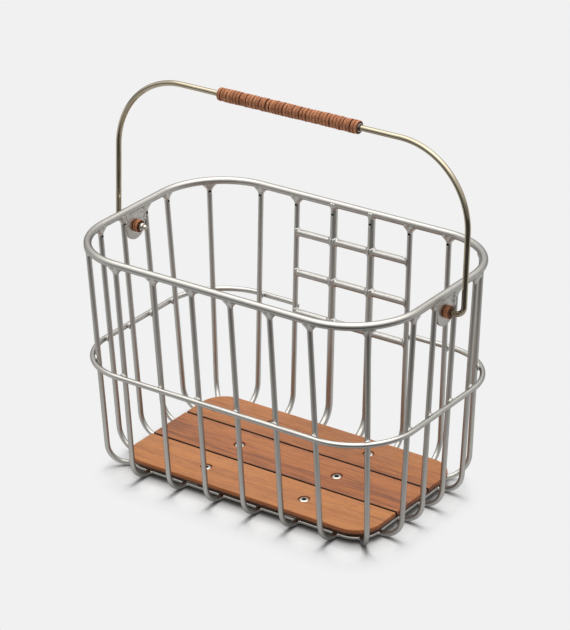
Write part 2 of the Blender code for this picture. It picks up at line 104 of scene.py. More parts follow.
def amount(name, description, default, highest=1.0):
    return FloatProperty(name=name, description=description, default=default, min=0, max=highest)


class CageSizes(bpy.types.PropertyGroup):
    """The rim, the rings, the uprights and the grid."""

    rim_half_length: length("Rim half length", "Half the rim's length, centre line", 0.186)
    rim_half_width: length("Rim half width", "Half the rim's width, centre line", 0.12)
    rim_corner: length("Rim corner", "Radius of the rim's corners, centre line", 0.072)
    rim_height: length("Rim height", "Height of the rim's centre line", 0.2461)
    rim_radius: length("Rim radius", "Radius of the rim's tube", 0.00395)
    upright_radius: length("Upright radius", "Radius of a plain upright", 0.0027)
    stout_radius: length("Stout upright radius", "Radius of the two grid uprights", 0.00365)
    wall_pitch: length("Wall pitch", "Spacing of the uprights in the long walls", 0.0456)
    side_pitch: length("Side pitch", "Spacing of the uprights in the short walls", 0.03595)
    wall_lean: angle("Wall lean", "Lean of the straight walls", 3.36)
    corner_lean: angle("Corner lean", "Lean of the corner uprights", 2.52)
    bend_radius: length("Foot bend", "Radius of an upright's bend at its foot", 0.0242)
    foot_straight: length("Foot straight", "Straight length after the foot bend", 0.001)
    rim_weld_width: length("Rim weld width", "How far an upright's weld spreads at the rim", 0.0052)
    rim_weld_height: length("Rim weld height", "How far an upright's weld comes down", 0.0062)
    stout_weld_share: amount("Stout weld share", "Size of a stout upright's weld beside a plain one's", 0.35)
    foot_weld: length("Foot weld", "Reach of the weld between a foot and the bottom ring", 0.0013)
    rod_weld: length("Rod weld", "Reach of the weld at a grid rod's ends", 0.002)
    vent_radius: length("Vent radius", "Radius of the vent hole below the rim", 0.00125)
    vent_drop: length("Vent drop", "How far the vent hole is below the rim", 0.0108)
    mid_height: length("Mid ring height", "Height of the middle ring's centre line", 0.1233)
    mid_radius: length("Mid ring radius", "Radius of the middle ring's wire", 0.0028)
    bottom_radius: length("Bottom ring radius", "Radius of the bottom ring's wire", 0.002)
    rod_radius: length("Rod radius", "Radius of a grid rod", 0.0037)
    rod_drop: length("First rod drop", "How far the first rods are below the rim", 0.0409)
    rod_pitch: length("Rod pitch", "Spacing of the rows of rods", 0.044)
    wall_uprights: count("Wall uprights", "Uprights in each long wall", 6)
    side_uprights: count("Side uprights", "Uprights in each short wall", 4)
    tube_sides: count("Tube sides", "Faces round a tube", 28)


class BaseSizes(bpy.types.PropertyGroup):
    """The planks, their screws and the bars under them."""

    overhang: length("Overhang", "How far the board passes the bottom ring", 0.0044)
    board_height: length("Board height", "Height of the board's underside", 0.0078)
    board_thickness: length("Board thickness", "Thickness of the planks", 0.006)
    plank_gap: length("Plank gap", "Gap between planks", 0.002)
    edge_ease: length("Edge ease", "Rounding of the planks' edges", 0.0011)
    screw_column: length("Screw column", "Distance of the screws from the middle", 0.06)
    head_radius: length("Head radius", "Radius of a screw's head", 0.0050)
    head_height: length("Head height", "Height of a screw's head", 0.0022)
    socket_radius: length("Socket radius", "Radius of the hexagon socket", 0.0023)
    socket_depth: length("Socket depth", "Depth of the hexagon socket", 0.0013)
    shank_radius: length("Shank radius", "Radius of a screw's shank", 0.0024)
    counterbore_radius: length("Counterbore radius", "Radius of the recess round a head", 0.0060)
    counterbore_depth: length("Counterbore depth", "Depth of the recess round a head", 0.0028)
    bar_width: length("Crossbar width", "Width of the bars under the board", 0.014)
    bar_height: length("Crossbar height", "Height of the bars' underside", 0.005)
    bar_thickness: length("Crossbar thickness", "Thickness of the bars under the board", 0.0025)


class BailSizes(bpy.types.PropertyGroup):
    """The bail, its pivots and its grip."""

    pivot_drop: length("Pivot drop", "How far the pivots are below the rim", 0.0182)
    plate_thickness: length("Plate thickness", "Thickness of the pivot plates", 0.003)
    washer_radius: length("Washer radius", "Radius of the leather washers", 0.0071)
    washer_thickness: length("Washer thickness", "Thickness of a leather washer", 0.0052)
    collar_radius: length("Collar radius", "Radius of the end collars", 0.004)
    collar_length: length("Collar length", "Length of the end collars", 0.004)
    seat_gap: length("Seat gap", "Gap between neighbouring pieces on the pivot", 0.0003)
    wire_radius: length("Bail radius", "Radius of the bail's wire", 0.0028)
    half_width: length("Bail half width", "Half the width of the bail, centre line", 0.206)
    reach: length("Bail reach", "Distance from the pivots to the top run", 0.1594)
    corner_radius: length("Bail corner", "Radius of the bail's two upper bends", 0.0781)
    foot_bend: length("Bail foot bend", "Radius of the bends at the pivots", 0.009)
    tip_past_collar: length("Tip past collar", "How far the tips pass the collars", 0.0038)
    lean: angle("Bail lean", "Lean of the bail at rest", 3.8)
    grip_length: length("Grip length", "Length of the leather grip", 0.165)
    grip_ease: length("Grip ease", "Bare length of the sleeve at the grip's left end", 0.0016)
    grip_radius: length("Grip radius", "Greatest radius of the leather discs", 0.0071)
    sleeve_clearance: length("Sleeve clearance", "Gap between the wire and the sleeve", 0.0006)
    sleeve_wall: length("Sleeve wall", "Wall thickness of the sleeve", 0.0007)
    sleeve_proud: length("Sleeve proud", "How far the sleeve passes the leather", 0.0005)
    discs: count("Discs", "Leather discs in the grip", 42)


class Finishes(bpy.types.PropertyGroup):
    """Colours of the finishes."""

    tube: colour("Tube", "Satin tube, lighter tone", (0.635, 0.62, 0.585))
    tube_deep: colour("Tube, deep", "Satin tube, darker tone", (0.585, 0.57, 0.535))
    weld: colour("Weld", "Cleaned weld metal", (0.80, 0.795, 0.77))
    tint: colour("Heat tint", "Stain beside a weld", (0.17, 0.145, 0.125))
    wire: colour("Bail wire", "Polished wire, lighter tone", (0.50, 0.443, 0.335))
    wire_deep: colour("Bail wire, deep", "Polished wire, darker tone", (0.42, 0.366, 0.268))
    fastener: colour("Fastener", "Bright screws and collars", (0.60, 0.57, 0.51))
    wood_light: colour("Wood, light", "Light bands of the planks", (0.512, 0.205, 0.068))
    wood_mid: colour("Wood, middle", "Common tone of the planks", (0.315, 0.108, 0.037))
    wood_dark: colour("Wood, dark", "Dark bands and pores of the planks", (0.12, 0.042, 0.020))
    leather_light: colour("Leather, light", "Lightest leather discs", (0.60, 0.262, 0.130))
    leather_mid: colour("Leather, middle", "Darker leather discs", (0.31, 0.108, 0.052))
    # Also the colour of the painted shade on the discs' faces.
    leather_dark: colour("Leather, dark", "Dark leather and the discs' faces", (0.125, 0.046, 0.024))
    floor: colour("Floor", "Plain studio floor", (0.86, 0.86, 0.86))


class StageSizes(bpy.types.PropertyGroup):
    """The studio and the camera."""

    focal: amount("Focal length", "Focal length in millimetres", 158.56, 500.0)
    camera_place: FloatVectorProperty(
        name="Camera place",
        description="Where the camera stands",
        default=(1.44331107, -1.99958196, 1.34012589),
        precision=5,
        unit="LENGTH",
    )
    azimuth: angle("Camera azimuth", "Direction of the view about the vertical", 35.82379)
    elevation: angle("Camera elevation", "How far the camera looks down", 25.28392)
    roll: angle("Camera roll", "Roll of the camera", -0.98819)
    box_size: length("Softbox size", "Side of the overhead softbox", 5.0)
    box_height: length("Softbox height", "Height of the overhead softbox", 3.3)
    box_power: amount("Softbox power", "Power of the overhead softbox in watts", 42.0, 1000.0)
    key_size: length("Key size", "Side of the light that throws the crisper shadows", 1.3)
    key_height: length("Key height", "Height of that light", 3.0)
    key_behind: length("Key behind", "How far behind the basket that light hangs", 0.6)
    key_power: amount("Key power", "Power of that light in watts", 66.0, 1000.0)
    room_soft: amount("Room light", "Strength of the room's light from above", 0.26, 5.0)
    room_front: amount("Metal's room, front", "The room behind the camera as bright metal sees it", 0.23, 5.0)
    room_back: amount("Metal's room, back", "The rest of the room as bright metal sees it", 0.95, 5.0)
    room_edge: amount("Metal's horizon", "The foot of the room's walls as bright metal sees it", 0.26, 5.0)
    room_high: amount("Metal's room, high", "The upper room as bright metal sees it", 0.97, 5.0)
    room_shine: amount("Metal's ceiling", "How much brighter the ceiling is in bright metal", 1.7, 9.0)
    backdrop: amount("Backdrop", "Brightness of the plain backdrop", 0.88, 5.0)
    # Painted shadow on the floor: the contact shadow and the shade under the board.
    contact_reach: length("Contact reach", "How near a piece is to the floor to darken it", 0.025)
    under_board: amount("Shade under the board", "How light the floor stays at the bottom ring", 0.36)
    contact_depth: amount("Contact depth", "How deep the shadow is where a piece meets the floor", 0.75, 9.0)
    shadow_front: length("Shadow front", "How far the shadowed floor lies to the front", 0.021)
    shadow_side: length("Shadow side", "How far the shadowed floor lies to the right", 0.011)
    shadow_reach: length("Shadow reach", "Where the floor's shadows start to fade, from the bottom ring", 0.0)
    shadow_end: length("Shadow end", "Where the floor becomes plain backdrop, from the bottom ring", 0.044)
    # Painted sheen: the floor's glow as metal sees it.
    sheen_near: amount("Floor sheen, near", "Floor as the metal sees it, at the basket", 0.74, 5.0)
    sheen_far: amount("Floor sheen, far", "Floor as the metal sees it, towards the camera", 0.07, 5.0)
    sheen_behind: amount("Floor sheen, behind", "How much brighter the floor behind is in metal", 0.2, 5.0)
    sheen_start: length("Sheen start", "Where the floor's sheen starts to fade", 0.08)
    sheen_end: length("Sheen end", "Where the floor's sheen ends", 0.54)


# Short ways to make nodes


def live(sockets, key):
    """The socket of that name that the node now shows, or the one with that number."""
    if isinstance(key, int):
        return sockets[key]
    return next(socket for socket in sockets if socket.name == key and socket.enabled)


def label(key):
    """A socket's label from a keyword, such as base_color."""
    return key.replace("_", " ").title().replace("Ior", "IOR")


def with_alpha(tone):
    """A plain colour with its alpha. A node's output stays as it is."""
    return tone if isinstance(tone, Value) else (*tone, 1.0)


class Value:
    """What a node puts out. Plain arithmetic on it adds the nodes that work it out."""

    def __init__(self, net, socket):
        self.net, self.socket = net, socket

    def __add__(self, other):
        return self.net.math("ADD", self, other)

    def __sub__(self, other):
        return self.net.math("SUBTRACT", self, other)

    def __rsub__(self, other):
        return self.net.math("SUBTRACT", other, self)

    def __mul__(self, other):
        return self.net.math("MULTIPLY", self, other)

    def __truediv__(self, other):
        return self.net.math("DIVIDE", self, other)

    def __abs__(self):
        return self.net.math("ABSOLUTE", self)

    def dot(self, other):
        return self.net.math("DOT_PRODUCT", self, other)

    def at_least(self, least):
        return self.net.math("MAXIMUM", self, least)

    def clamped(self):
        """The same sum, which its node now keeps between 0 and 1."""
        self.socket.node.use_clamp = True
        return self

    def between(self, low, high, to_low=0.0, to_high=1.0):
        """Maps low to high onto another range, and stops at its ends."""
        return self.net.node("ShaderNodeMapRange", {0: self, 1: low, 2: high, 3: to_low, 4: to_high})

    def part(self, number):
        """One number of a vector."""
        return self.net.node("ShaderNodeSeparateXYZ", {0: self}, number)

    def grain(self, scale, detail=3.0, roughness=0.55, distortion=0.0):
        """Noise at this place."""
        feeds = {"Vector": self, "Scale": scale, "Detail": detail}
        feeds.update({"Roughness": roughness, "Distortion": distortion})
        return self.net.node("ShaderNodeTexNoise", feeds)

    def mix(self, factor, tone, mode="MIX"):
        """This colour, mixed with another by a factor."""
        return self.net.mix(factor, self, tone, mode)


def is_vector(term):
    if isinstance(term, Value):
        return term.socket.type in ("VECTOR", "RGBA")
    return isinstance(term, tuple)


class Net:
    """Adds nodes to one tree and joins them."""

    def __init__(self, tree):
        self.tree = tree

    def put(self, socket, source):
        """Feed a socket from a node's output, or set its plain value."""
        if isinstance(source, Value):
            self.tree.links.new(source.socket, socket)
        else:
            socket.default_value = source

    def node(self, kind, feeds=None, out=0, **options):
        """Add a node, choose its options, feed its inputs, and return one of its outputs."""
        node = self.tree.nodes.new(kind)
        for name, value in options.items():
            setattr(node, name, value)
        for key, source in (feeds or {}).items():
            self.put(live(node.inputs, key), source)
        return Value(self, live(node.outputs, out))

    def math(self, operation, *terms):
        """Work on numbers, or on vectors where the first term is one. Times a number, a vector is scaled."""
        feeds = dict(enumerate(terms))
        if not is_vector(terms[0]):
            return self.node("ShaderNodeMath", feeds, operation=operation)
        if operation == "MULTIPLY" and not is_vector(terms[1]):
            operation, feeds = "SCALE", {0: terms[0], "Scale": terms[1]}
        out = "Value" if operation in ("DOT_PRODUCT", "LENGTH") else "Vector"
        return self.node("ShaderNodeVectorMath", feeds, out, operation=operation)

    def mix(self, factor, first, second, mode="MIX"):
        """Mix two colours."""
        feeds = {0: factor, 6: with_alpha(first), 7: with_alpha(second)}
        return self.node("ShaderNodeMix", feeds, 2, data_type="RGBA", blend_type=mode)

    def vector(self, x=0.0, y=0.0, z=0.0):
        return self.node("ShaderNodeCombineXYZ", {0: x, 1: y, 2: z})

    def coordinates(self, out="Object"):
        return self.node("ShaderNodeTexCoord", out=out)

    def ray(self, out):
        return self.node("ShaderNodeLightPath", out=out)

    def attribute(self, name, out="Fac"):
        """A named attribute of the mesh, in a material."""
        return self.node("ShaderNodeAttribute", out=out, attribute_type="GEOMETRY", attribute_name=name)

    def shared(self, effect, **feeds):
        """Place a shared effect in a material, and return its output."""
        feeds = {label(key): source for key, source in feeds.items()}
        return self.node("ShaderNodeGroup", feeds, node_tree=effect())

    def named(self, name, kind="FLOAT"):
        """A named attribute of the geometry, in a geometry tree."""
        return self.node("GeometryNodeInputNamedAttribute", {"Name": name}, "Attribute", data_type=kind)

    def stored(self, geometry, name, value, kind="FLOAT", domain="POINT"):
        feeds = {"Geometry": geometry, "Name": name, "Value": value}
        return self.node("GeometryNodeStoreNamedAttribute", feeds, data_type=kind, domain=domain)

    def chance(self, low, high, seed):
        feeds = {"Min": low, "Max": high, "Seed": seed}
        return self.node("FunctionNodeRandomValue", feeds, "Value", data_type="FLOAT")

    def turned(self, x=0.0, y=0.0, z=0.0):
        """A rotation by three angles."""
        return self.node("FunctionNodeEulerToRotation", {0: self.vector(x, y, z)})

    def copies(self, points, shape, turn, scale=(1.0, 1.0, 1.0)):
        """The shape on each point."""
        feeds = {"Points": points, "Instance": shape, "Rotation": turn, "Scale": scale}
        return self.node("GeometryNodeInstanceOnPoints", feeds)

    def real(self, geometry):
        return self.node("GeometryNodeRealizeInstances", {"Geometry": geometry})

    def pushed(self, geometry, distance):
        """The geometry with each point moved along its normal."""
        normal = self.node("GeometryNodeInputNormal")
        return self.node("GeometryNodeSetPosition", {"Geometry": geometry, "Offset": normal * distance})

    def finished(self, geometry, material):
        """The end of a geometry tree: smooth plain geometry with its finish."""
        smooth = self.node("GeometryNodeSetShadeSmooth", {"Geometry": geometry})
        return self.node("GeometryNodeSetMaterial", {"Geometry": self.real(smooth), "Material": material})


def node_group(name, output, **inputs):
    """Make a function that joins nodes give its node group, which is built at the first call.

    Each input is its default number, or its kind of socket where it has no default.
    """
    tree_kind, output_kind = ("Geometry", "Geometry") if output == "Geometry" else ("Shader", "Float")

    def wrap(join):
        def tree():
            made = bpy.data.node_groups.get(name)
            if made:
                return made
            made = bpy.data.node_groups.new(name, tree_kind + "NodeTree")
            for key, default in inputs.items():
                bare = isinstance(default, str)
                kind = default if bare else type(default).__name__.title()
                item = made.interface.new_socket(label(key), in_out="INPUT", socket_type="NodeSocket" + kind)
                if not bare:
                    item.default_value = default
            made.interface.new_socket(output, in_out="OUTPUT", socket_type="NodeSocket" + output_kind)
            sockets = made.nodes.new("NodeGroupInput").outputs
            result = made.nodes.new("NodeGroupOutput")
            net = Net(made)
            given = {key: Value(net, sockets[label(key)]) for key in inputs}
            net.put(result.inputs[0], join(net, SimpleNamespace(**given)))
            return made

        return tree

    return wrap


# Effects that several finishes share


@node_group("Draw Lines", "Lines", around="Vector", density=6.0, drift=0.6)
def draw_lines(net, given):
    """Fine lines that run along a tube, from the direction round it."""
    drift = net.coordinates().grain(14.0, 1.0) * given.drift
    return (given.around + net.vector(z=drift)).grain(given.density, 4.0, 0.7)


@node_group("Patches", "Amount", scale=40.0, low=0.0, high=1.0)
def soft_patches(net, given):
    """Soft uneven patches over a surface."""
    rough = net.coordinates().grain(given.scale, 5.0, 0.6)
    return rough.between(0.3, 0.7, given.low, given.high)


@node_group("Edge Wear", "Mask", reach=0.06, breakup=300.0)
def edge_wear(net, given):
    """A mask of the proud edges, broken up by noise."""
    proud = net.node("ShaderNodeNewGeometry", out="Pointiness").between(0.5, given.reach + 0.5)
    return (proud * net.coordinates().grain(given.breakup, 2.0)).clamped()


@node_group("Settled Dust", "Mask", amount=0.1, scale=120.0)
def settled_dust(net, given):
    """A thin settled dust on the faces that look up."""
    facing = net.coordinates("Normal").part(2).between(0.2, 1.0)
    speckle = net.coordinates().grain(given.scale, 4.0).between(0.35, 0.7)
    return facing * speckle * given.amount


# The finishes


class Surface(Net):
    """A new material and its nodes."""

    def __init__(self, name):
        self.material = bpy.data.materials.new(name + "_finish")
        self.material.use_nodes = True
        super().__init__(self.material.node_tree)
        self.shader = self.tree.nodes["Principled BSDF"]

    def shade(self, **sources):
        """Feed the shader's inputs."""
        for key, source in sources.items():
            self.put(self.shader.inputs[label(key)], source)

    def raised(self, height, distance, strength):
        """Feed the shader's normal from a height over the surface."""
        feeds = {"Height": height, "Distance": distance, "Strength": strength}
        self.shade(normal=self.node("ShaderNodeBump", feeds))


def satin_tube(net, tones, plate=False, rough=0.32):
    """Grey satin metal with fine draw lines, brighter and lumpy where it was welded, with painted shade in
    its holes.

    On a pivot plate the weld is the rough metal that runs down from the rim.
    """
    net.shade(metallic=1.0, specular_tint=(0.45, 0.45, 0.45, 1))
    place, rim = net.coordinates(), bpy.context.scene.basket_cage.rim_height
    if plate:
        weld_end, weld_full, tear, side_fall = 0.0131, 0.0086, 0.010, 0.35
        torn = (place.grain(260.0) - 0.5) * tear
        level = place.part(2) + torn + abs(place.part(1)) * side_fall
        weld = level.between(rim - weld_end, rim - weld_full)
        # On a plate, shade holds dark spots in the weld metal.
        shade = weld * place.grain(520.0, 2.0).between(0.64, 0.68)
    else:
        # Elsewhere shade marks the points inside the drilled holes, for painted shade.
        weld, shade = net.attribute("weld"), net.attribute("shade")
    lines = net.shared(draw_lines, around=net.attribute("around", "Vector"), density=5.0, drift=0.15)
    patches = net.shared(soft_patches, scale=55.0)
    stain = net.shared(soft_patches, scale=230.0, low=-1.3, high=1.0)
    base = net.mix(patches, tones.tube_deep, tones.tube)
    base = base.mix(weld * (0.05 if plate else 0.25), tones.weld)
    edge = weld.between(0.02, 0.3) * stain.at_least(0.0)
    base = base.mix(edge * (0.5 if plate else 0.35), tones.tint)
    seam_level, seam_reach = 0.03, 0.05
    seam = (1.0 - abs(weld - seam_level) / seam_reach).clamped()
    base = base.mix(seam * 0.6, tones.tint)
    base = base.mix(net.shared(edge_wear, reach=0.08) * 0.4, tones.weld)
    base = base.mix(net.shared(settled_dust, amount=0.05), (0.6, 0.58, 0.55))
    # Painted shade: the holes go near-black (on a plate, the weld's dark spots).
    base = base.mix(shade, (0.004, 0.004, 0.004))
    gloss = lines.between(0.3, 0.7, rough, rough + 0.04) + patches * 0.02 + weld * 0.12
    net.shade(base_color=base, roughness=gloss)
    ripple = place.grain(420.0, 2.0) * weld * (1.6 if plate else 0.6)
    net.raised(lines * 0.012 + ripple, 0.0005, 0.7)


def polished_wire(net, tones):
    """Warm polished wire with faint lines along it, and bare steel tips inside the basket."""
    net.shade(metallic=1.0, specular_tint=(0.6, 0.58, 0.5, 1))
    cage, bail, place = bpy.context.scene.basket_cage, bpy.context.scene.basket_bail, net.coordinates()
    lines = net.shared(draw_lines, around=net.attribute("around", "Vector"), density=7.0, drift=0.05)
    patches = net.shared(soft_patches, scale=70.0)
    inside = net.math("LESS_THAN", abs(place.part(0)), pivot_place(cage, bail, 1).x)
    warm_above, bare_below = 0.0061, 0.0111
    below = place.part(2).between(cage.rim_height - warm_above, cage.rim_height - bare_below)
    base = net.mix(patches, tones.wire_deep, tones.wire)
    base = base.mix(below * inside, tones.fastener)
    net.shade(base_color=base, roughness=lines.between(0.3, 0.7, 0.08, 0.10) + patches * 0.02)
    net.raised(lines, 0.000004, 0.3)


def bright_fastener(net, tones):
    """Bright plated steel, worn a little dull on its edges, with painted shade in its socket."""
    net.shade(metallic=1.0)
    worn = net.shared(edge_wear, reach=0.1, breakup=900.0)
    base = net.mix(worn, tones.fastener, (0.5, 0.48, 0.45))
    # Painted shade: the points in the hexagon socket are painted near-black.
    base = base.mix(net.attribute("shade"), (0.02, 0.02, 0.02))
    net.shade(base_color=base, roughness=net.shared(soft_patches, scale=400.0, low=0.2, high=0.32))
    net.raised(net.coordinates().grain(700.0), 0.00003, 0.4)


def oiled_wood(net, tones):
    """Reddish brown planks: bands and fine pores along the length, each plank with its own tone."""
    cage, board = bpy.context.scene.basket_cage, bpy.context.scene.basket_base
    here, tone = net.coordinates(), net.attribute("tone")
    place = here + net.vector(tone, tone, tone) * 3.7

    def stretched(along, across, detail, low, high, distortion=0.0):
        return (place * (along, across, across)).grain(1.0, detail, 0.62, distortion).between(low, high)

    bands = stretched(1.7, 30.0, 4.0, 0.36, 0.66, 0.7)
    streaks = stretched(7.0, 190.0, 5.0, 0.34, 0.66, 0.4)
    fine = stretched(26.0, 560.0, 3.0, 0.36, 0.64)
    pores = stretched(60.0, 1300.0, 2.0, 0.57, 0.66)
    body = bands * 0.42 + streaks * 0.32 + fine * 0.26 + (tone - 0.5) * 0.34
    base = net.mix(body.between(0.25, 0.77), tones.wood_mid, tones.wood_light)
    base = base.mix(body.between(0.42, 0.05) * 0.8, tones.wood_dark)
    base = base.mix(tone.between(0.8, 0.2, 0.0, 0.6), (0.84, 0.72, 0.72), "MULTIPLY")
    base = base.mix(pores * 0.5, tones.wood_dark)

    edge = abs(net.coordinates("Normal").part(2)).between(0.85, 0.25)
    top = board.board_height + board.board_thickness
    side_shadow_start, side_shadow_full, gap_clear, gap_dark = 0.0034, 0.0046, 0.0017, 0.0012
    low = here.part(2).between(top - side_shadow_start, top - side_shadow_full, 0.15, 1.0)
    # The side faces turn a darker, warmer brown: partly the edge grain's own colour, partly painted shade.
    base = base.mix(edge, (1.0, 0.74, 0.52), "MULTIPLY")
    # Painted shadow: the lower part of the side faces is painted near-black, standing for the shadowed gap
    # above the bottom ring.
    base = base.mix(edge * low, (0.03, 0.014, 0.008))
    # Painted shade: the plank edges beside each gap are painted near-black.
    split = (plank_width(cage, board) + board.plank_gap) / 2
    painted_gap_shade = abs(abs(here.part(1)) - split).between(gap_clear, gap_dark)
    base = base.mix(painted_gap_shade, (0.016, 0.007, 0.004))
    # Painted reflection: where metal mirrors the wood, the wood is painted darker.
    base = base.mix(net.ray("Is Glossy Ray") * 0.7, (0.5, 0.5, 0.5), "MULTIPLY")
    net.shade(base_color=base, roughness=streaks.between(0.0, 1.0, 0.42, 0.55) + pores * 0.2)
    net.raised(streaks * 0.3 - pores * 0.6, 0.00012, 0.6)


def tan_leather(net, tones):
    """Cut edges of leather discs, each with its own tone, fibrous, with painted shade between them."""
    net.shade(specular_ior_level=0.3)
    place = net.coordinates()
    fibres, blotches = place.grain(1400.0, 4.0, 0.7), place.grain(620.0, 4.0, 0.65)
    body = net.attribute("tone") * 0.45 + blotches.between(0.34, 0.66, 0.0, 0.8)
    base = net.mix(body.between(0.2, 1.05), tones.leather_mid, tones.leather_light)
    base = base.mix(blotches.between(0.42, 0.30) * 0.6, tones.leather_dark)
    # Painted shade: the discs' faces, where they meet, are painted dark.
    base = base.mix(net.attribute("face"), tones.leather_dark)
    net.shade(base_color=base, roughness=fibres.between(0.3, 0.7, 0.55, 0.8))
    net.raised(fibres + blotches * 1.2, 0.0003, 0.8)


def towards_camera(stage):
    """The level direction from the basket to the camera's side."""
    return (math.sin(stage.azimuth), -math.cos(stage.azimuth), 0)


def studio_floor(net, tones):
    """Matt floor, with a painted contact shadow and painted shade under the board, and plain backdrop further
    out. Bright metal sees a painted sheen on it that fades into the dark of the room on the camera's side.
    """
    stage = bpy.context.scene.basket_stage
    net.shade(roughness=0.9, specular_ior_level=0.0)
    net.material.cycles.emission_sampling = "NONE"
    place = net.coordinates()
    half_x, half_y, radius = bottom_ring_outline(bpy.context.scene.basket_cage)
    spot = abs(place - (stage.shadow_side, -stage.shadow_front, 0.0))
    corner = (spot - (half_x - radius, half_y - radius, 0.0)).at_least((0.0, 0.0, 0.0))
    # How far the floor is outside the bottom ring: it has painted shade under the board, and is plain
    # backdrop further out.
    off = net.math("LENGTH", corner) - radius
    # Painted contact shadow: an occlusion node darkens the floor's colour where a piece meets it.
    near = net.node("ShaderNodeAmbientOcclusion", {"Distance": stage.contact_reach}, "AO", samples=12)
    painted_contact_shadow = net.math("POWER", near, stage.contact_depth)
    deep_under, ring_dim, plain_from, behind = -0.022, (-0.012, 0.02), (0.012, 0.03), (-0.12, -0.4)
    painted_contact_shadow = painted_contact_shadow * off.between(deep_under, 0.0, stage.under_board, 1.0)
    low = [0.995 * part for part in tones.floor]
    base = net.mix(net.shared(soft_patches, scale=3.0), low, tones.floor)
    net.shade(base_color=base * painted_contact_shadow)

    # Painted reflection: to glossy rays the floor glows with a sheen that fades towards the camera's side and
    # dims under the board.
    nearer = place.dot(towards_camera(stage))
    sheen = nearer.between(stage.sheen_start, stage.sheen_end, stage.sheen_near, stage.sheen_far)
    sheen = sheen + nearer.between(*behind, 0.0, stage.sheen_behind)
    sheen = sheen * off.between(*ring_dim, 0.3, 1.0)
    painted_sheen_glow = net.node("ShaderNodeEmission", {"Strength": sheen})
    feeds = {0: off, 1: stage.shadow_reach, 2: stage.shadow_end}
    away = net.node("ShaderNodeMapRange", feeds, interpolation_type="SMOOTHSTEP")
    # The glowing plain backdrop carries the painted contact shadow too.
    plain = painted_contact_shadow.at_least(off.between(*plain_from)) * stage.backdrop
    plain = net.node("ShaderNodeEmission", {"Strength": plain})
    lit = Value(net, net.shader.outputs[0])
    both = net.node("ShaderNodeMixShader", {0: away * net.ray("Is Camera Ray"), 1: lit, 2: plain})
    both = net.node("ShaderNodeMixShader", {0: net.ray("Is Glossy Ray"), 1: both, 2: painted_sheen_glow})
    net.put(net.tree.nodes["Material Output"].inputs["Surface"], both)


FINISHES = {
    "satin_tube": satin_tube,
    "satin_plate": partial(satin_tube, plate=True),
    "satin_ring": partial(satin_tube, rough=0.23),
    "polished_wire": polished_wire,
    "bright_fastener": bright_fastener,
    "oiled_wood": oiled_wood,
    "tan_leather": tan_leather,
    "studio_floor": studio_floor,
}


def finish(name):
    """The material of that name, made the first time that it is asked for."""
    found = bpy.data.materials.get(name + "_finish")
    if found:
        return found
    surface = Surface(name)
    FINISHES[name](surface, bpy.context.scene.basket_finishes)
    return surface.material


# Outlines and centre lines


def arc(centre_u, centre_v, radius, start, end, steps):
    angles = [start + (end - start) * i / steps for i in range(steps + 1)]
    return [(centre_u + radius * math.cos(a), centre_v + radius * math.sin(a)) for a in angles]


def spaced(start, end, step):
    """Even places from start to end, both included, about step apart."""
    pieces = max(1, math.ceil((end - start) / step))
    return [start + (end - start) * i / pieces for i in range(pieces + 1)]


def rounded_rectangle(half_x, half_y, radius, steps):
    """One turn round a rectangle with round corners, starting at the middle of the right end."""
    quarter = math.pi / 2
    inner_x, inner_y = half_x - radius, half_y - radius
    points = []
    for turn, (sign_x, sign_y) in enumerate(((1, 1), (-1, 1), (-1, -1), (1, -1))):
        start = turn * quarter
        points += arc(sign_x * inner_x, sign_y * inner_y, radius, start, start + quarter, steps)
    return points


def dense(outline, z, closed=True, step=0.006):
    """A flat outline with its long straights divided."""
    points = []
    ends = outline[1:] + outline[:1] if closed else outline[1:]
    for here, there in zip(outline, ends):
        a, b = Vector((*here, z)), Vector((*there, z))
        pieces = max(1, round((b - a).length / step))
        points += [a.lerp(b, i / pieces) for i in range(pieces) if (b - a).length > SAME_PLACE]
    return points if closed else points + [Vector((*outline[-1], z))]


def foot_inset(cage, lean, foot_z):
    """How far in from the rim's centre line an upright's foot bend ends."""
    drop = cage.rim_height - foot_z - cage.bend_radius
    return drop * math.tan(lean) + cage.bend_radius / math.cos(lean)


def ring_inset(cage, lean):
    """How far in from the rim's centre line the bottom ring runs."""
    gap = bpy.context.scene.basket_bail.seat_gap
    return foot_inset(cage, lean, cage.upright_radius) + cage.foot_straight + gap + cage.bottom_radius


def inset_outline(cage, straight, corner):
    """Half length, half width and corner radius of a ring inset that far at the walls and at the corners."""
    radius = cage.rim_corner + (corner * math.sqrt(0.5) - straight) / CORNER_SHARE
    return cage.rim_half_length - straight, cage.rim_half_width - straight, radius


def bottom_ring_outline(cage):
    return inset_outline(cage, ring_inset(cage, cage.wall_lean), ring_inset(cage, cage.corner_lean))


def mid_ring_outline(cage):
    outside = cage.upright_radius + bpy.context.scene.basket_bail.seat_gap + cage.mid_radius
    drop = cage.rim_height - cage.mid_height
    insets = [drop * math.tan(lean) - outside for lean in (cage.wall_lean, cage.corner_lean)]
    return inset_outline(cage, *insets)


